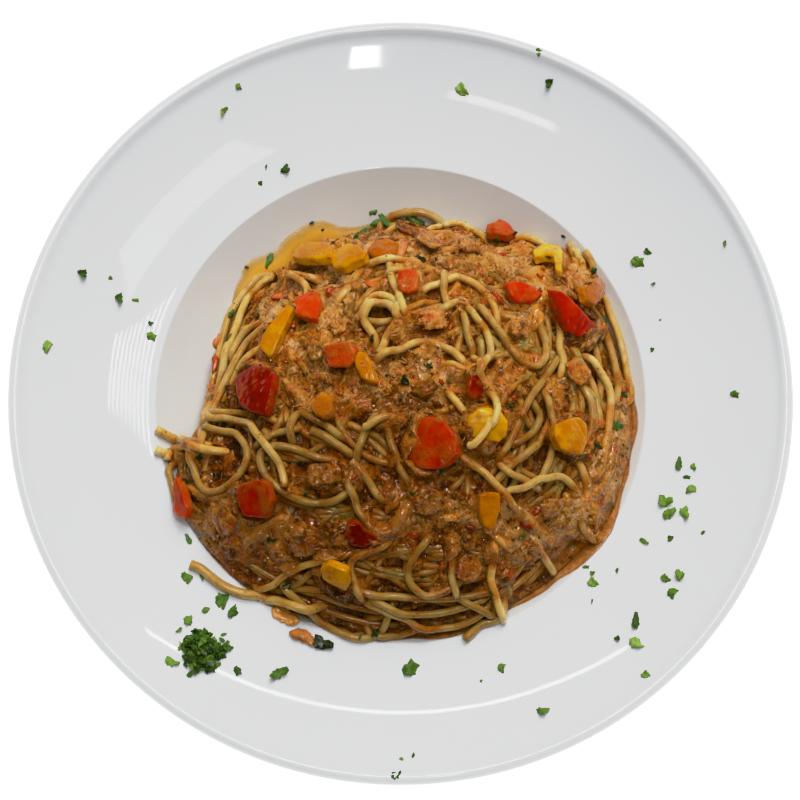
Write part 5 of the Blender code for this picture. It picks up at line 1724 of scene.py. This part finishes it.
def parsley_heap(templates):
    """A pinch of parsley on the rim: many bits piled into a low ragged mound."""
    draw = np.random.default_rng(29)
    count = PARSLEY_HEAP_LEAVES
    x, y = place_on(plate_height, [PARSLEY_HEAP], PARSLEY_HEAP_HEIGHT * 0.4)
    angle = draw.uniform(0, TURN, count)
    far = np.sqrt(draw.uniform(0, 1, count))
    ragged = 1 + 0.18 * np.sin(3 * angle + 1) + 0.12 * np.sin(5 * angle)
    px = x[0] + np.cos(angle) * far * PARSLEY_HEAP_RADIUS * ragged
    py = y[0] + np.sin(angle) * far * PARSLEY_HEAP_RADIUS * ragged
    points, normals = on_surface(plate_height, px, py)
    rise = PARSLEY_HEAP_HEIGHT * (1 - far ** 2) * draw.uniform(0.15, 1.0, count) + 0.0006
    size = draw.uniform(2.2, 4.6, (count, 1)) * MM * np.array([[1.0, 0.8, 0.9]])
    tilt = unit(normals + draw.normal(0, 0.42, normals.shape))
    axes = laid_axes(tilt, draw.uniform(0, TURN, count), size)
    # Leaves higher in the pinch are a little lighter: painted light on top and painted shade below.
    tones = np.clip(0.22 + 0.10 * rise / PARSLEY_HEAP_HEIGHT + draw.normal(0, 0.17, count), 0.02, 0.9)
    piece = joined_copies(templates, draw, points + normals * rise[:, None], axes, tones)
    finish_piece(piece, "parsley_pinch", "leaf", "parsley", "parsley_heap")


def food_trees(names):
    trees = []
    for name in names:
        mesh = bpy.data.objects[name].data
        corners = [list(face.vertices) for face in mesh.polygons]
        trees.append(BVHTree.FromPolygons([vert.co.copy() for vert in mesh.vertices], corners))
    return trees


def tomato_scraps(templates, trees, mass, heap):
    """Flat bits of tomato in the sauce: those that stand out, then small ones all over."""
    draw = np.random.default_rng(37)
    seen = [first_seen(trees, (px, py)) for px, py, *_ in TOMATO]
    points, normals, _ = sample_mass(mass, heap, TOMATO_SCRAPS, draw, 0.35, 0.0012)
    origins = np.vstack([[spot + normal * 0.0002 for spot, normal in seen], points])
    normals = np.vstack([[normal for _, normal in seen], normals])
    _, _, length, width, turn, tone = np.array(TOMATO).T
    large = np.stack([length, width, np.full(len(TOMATO), 1.6)], axis=1)
    small = draw.uniform(0.9, 2.4, (len(points), 1)) * np.array([[1.2, 0.8, 0.5]])
    turns = np.concatenate([np.radians(turn), draw.uniform(0, TURN, len(points))])
    tones = np.concatenate([tone, draw.uniform(0.25, 0.95, len(points))])
    axes = laid_axes(normals, turns, np.vstack([large, small]) * MM)
    piece = joined_copies(templates, draw, origins, axes, tones)
    finish_piece(piece, "tomato_scraps", "tomato", "sauce", "spaghetti")


def top_parsley(templates, trees):
    """Parsley on and in the pasta: the bits that show, then fine flecks all over."""
    draw = np.random.default_rng(31)
    origins = []
    axes = []
    tones = []
    for px, py, length, width, turn, bright in TOP_PARSLEY:
        spot, normal = first_seen(trees, (px, py))
        size = np.array([[length, width, (length + width) * 0.4]]) * 1.3 * MM
        origins.append(spot + normal * 0.0004)
        axes.append(laid_axes(normal[None], np.radians([turn]), size)[0])
        tones.append(0.08 + 0.85 * bright)
    mass = bpy.data.objects["tuna_sauce_mass"]
    points = coordinates(mass.data)
    normals = vertex_normals(mass.data)
    open_to_sky = np.nonzero(normals[:, 2] > 0.2)[0]
    for index in draw.choice(open_to_sky, HERB_FLECKS, replace=False):
        size = np.array([[draw.uniform(0.8, 2.4), draw.uniform(0.5, 1.3), 0.8]]) * MM
        origins.append(points[index] + normals[index] * 0.0003)
        tilt = unit(normals[index] + draw.normal(0, 0.3, 3))
        axes.append(laid_axes(tilt[None], draw.uniform(0, TURN, 1), size)[0])
        tones.append(draw.uniform(0.0, 0.5))
    piece = joined_copies(templates, draw, np.array(origins), np.array(axes), np.array(tones))
    finish_piece(piece, "herb_flecks", "wet_leaf", "parsley", "spaghetti")


def sauce_blob(name, outline, thickness):
    """A small smear on the plate, with a soft raised body."""
    points, normals = on_surface(plate_height, *place_on(plate_height, spots(outline)))
    piece = flat_face(points + normals * 0.0001)
    move = {"value": tuple(normals.mean(axis=0) * thickness)}
    in_edit_mode(piece, lambda: bpy.ops.mesh.extrude_region_move(TRANSFORM_OT_translate=move), outward)
    body = piece.modifiers.new("body", "SUBSURF")
    body.levels = body.render_levels = 3
    apply_all(piece)
    surface = coordinates(piece.data)
    surface += vertex_normals(piece.data) * (0.0007 * ripple(surface, 0.0022, 2.0, 3))[:, None]
    surface[:, 2] = np.maximum(surface[:, 2], plate_height(surface[:, 0], surface[:, 1]) + 0.00005)
    set_coordinates(piece.data, surface)
    set_attribute(piece.data, "tone", 0.5 + 0.4 * ripple(surface, 0.003, 4.0, 2))
    finish_piece(piece, name, name, "sauce", "plate")


def drop_leaf(template):
    """The dark leaf that lies against the drop of sauce."""
    px, py, length, width, turn = SAUCE_DROP_LEAF
    points, normals = on_surface(plate_height, *place_on(plate_height, [(px, py)]))
    axes = laid_axes(normals, np.radians([turn]), np.array([[length, width, 4.0]]) * MM)
    draw = np.random.default_rng(1)
    piece = joined_copies([template], draw, points + normals * 0.0012, axes, np.array([0.12]))
    finish_piece(piece, "drop_leaf", "wet_leaf", "parsley", "plate")


# ---------------------------------------------------------------- light, floor and camera
LAMP_DISTANCE = 1.5


def mirrored_light(name, pixel, width_deg, height_deg, radiance, spin_deg=0.0):
    """A soft lamp where the rim mirrors it to the eye, at a point of the photograph."""
    points, normals = on_surface(plate_height, *place_on(plate_height, [pixel]))
    point, normal = points[0], normals[0]
    sight = unit(EYE - point)
    toward = 2 * (normal @ sight) * normal - sight
    lamp = bpy.data.lights.new(name, "AREA")
    lamp.shape = "RECTANGLE"
    lamp.size = 2 * LAMP_DISTANCE * math.tan(math.radians(width_deg) / 2)
    lamp.size_y = 2 * LAMP_DISTANCE * math.tan(math.radians(height_deg) / 2)
    lamp.energy = radiance * math.pi * lamp.size * lamp.size_y
    axis_z = Vector(toward)
    axis_x = Vector((*arm(math.radians(spin_deg)), 0))
    axis_x = (axis_x - axis_z * axis_x.dot(axis_z)).normalized()
    turn = Matrix((axis_x, axis_z.cross(axis_x), axis_z)).transposed()
    put_in(name, lamp).matrix_world = Matrix.Translation(Vector(point + toward * LAMP_DISTANCE)) @ turn.to_4x4()


def distant_light(name, energy, width_deg, toward):
    light = bpy.data.lights.new(name, "SUN")
    light.energy = energy
    light.angle = math.radians(width_deg)
    holder = put_in(name, light)
    holder.rotation_euler = Vector(toward).to_track_quat("Z", "Y").to_euler()
    return holder


def add_lights():
    mirrored_light("window", (180, 204), 13.0, 8.5, 4.5, 45)
    mirrored_light("back_strip", (378, 712), 36.0, 0.9, 17.0)
    mirrored_light("front_strip", (503, 108), 9.0, 2.2, 9.0, -18)
    mirrored_light("front_spot", (365, 57), 2.8, 5.0, 40.0)
    for step in range(10):
        mirrored_light(f"louvre_{step}", (111 + step * 4.2, 370), 0.55, 4.6, 14.0)
    sky = distant_light("sky_behind", 1.56, 40, (0.22, 0.72, 0.78))
    sky.data.color = (1.0, 0.985, 0.96)
    sky.visible_glossy = False
    distant_light("overhead", 0.55, 12, (0, math.cos(VIEW_ELEVATION), math.sin(VIEW_ELEVATION)))
    world = bpy.data.worlds.new("soft_room")
    world.use_nodes = True
    glow = world.node_tree.nodes["Background"]
    feed(glow.inputs["Color"], (0.965, 0.98, 1.0))
    feed(glow.inputs["Strength"], 0.23)
    world.cycles_visibility.glossy = False
    bpy.context.scene.world = world


# The picture's tones: what each brightness becomes, for all colours and for blue.
RESPONSE = [
    (0.0, 0.0), (0.05, 0.038), (0.15, 0.135), (0.35, 0.37), (0.46, 0.52), (0.58, 0.65), (0.70, 0.70), (0.88, 0.745),
    (1.15, 0.85), (1.7, 1.0),
]
BLUE_RESPONSE = [(0.0, 0.0), (0.007, 0.0025), (0.022, 0.0165), (0.06, 0.057), (0.15, 0.15), (1.0, 1.0)]


def set_response():
    """The picture's soft shoulder: whites are held back, and shadows fall off quickly, blue most of all."""
    view = bpy.context.scene.view_settings
    view.view_transform = "Standard"
    view.use_curve_mapping = True
    mapping = view.curve_mapping
    mapping.use_clip = False
    for curve, spots in ((mapping.curves[3], RESPONSE), (mapping.curves[2], BLUE_RESPONSE)):
        curve.points[0].location = spots[0]
        curve.points[-1].location = spots[-1]
        for spot in spots[1:-1]:
            curve.points.new(*spot)
    mapping.update()


def add_floor():
    bpy.ops.mesh.primitive_plane_add(size=4.0, location=(0, 0, -0.0002))
    floor = bpy.context.object
    floor.name = "pale_floor"
    floor.data.materials.append(Finish("pale_floor").done({
        "Base Color": (0.9, 0.9, 0.9), "Roughness": 0.9, "Emission Color": (1, 1, 1), "Emission Strength": 1.2,
    }))


def add_camera():
    data = bpy.data.cameras.new("view")
    data.sensor_width = SENSOR_MM
    data.lens = PIXELS_PER_SLOPE / PICTURE * SENSOR_MM
    data.shift_x = (PICTURE / 2 - VIEW_CENTRE[0]) / PICTURE
    data.shift_y = (VIEW_CENTRE[1] - PICTURE / 2) / PICTURE
    data.clip_start = 0.01
    camera = put_in("view", data)
    camera.location = EYE
    camera.rotation_euler = (math.pi / 2 - VIEW_ELEVATION, 0, 0)
    bpy.context.scene.camera = camera
    set_response()


# ---------------------------------------------------------------- the dish
deselect()
add_camera()
add_lights()
add_floor()
turned_plate()
oil_film()
for pepper_name in PEPPERS:
    pepper_piece(pepper_name)
laid = lay_strands()
mass_piece = mush_piece(laid)
strand_piece(laid, mass_piece, "buried_strands", False, 2)
strand_piece(laid, mass_piece, "spaghetti_strands", True, 3)
tuna_flakes()
add_loose_bits(mass_piece, laid)
leaves = leaf_templates(9, 16, 19)
rim_parsley(leaves)
parsley_heap(leaves)
food = food_trees([
    "tuna_sauce_mass", "spaghetti_strands", "oil_film", "dinner_plate", *(name + "_piece" for name in PEPPERS),
])
tomato_scraps(curd_templates(2), food, mass_piece, laid)
top_parsley(leaf_templates(5, 12, 21), food)
sauce_blob("sauce_drop", SAUCE_DROP, 0.0024)
sauce_blob("onion_scrap", ONION_SCRAP, 0.0020)
drop_leaf(leaves[1])
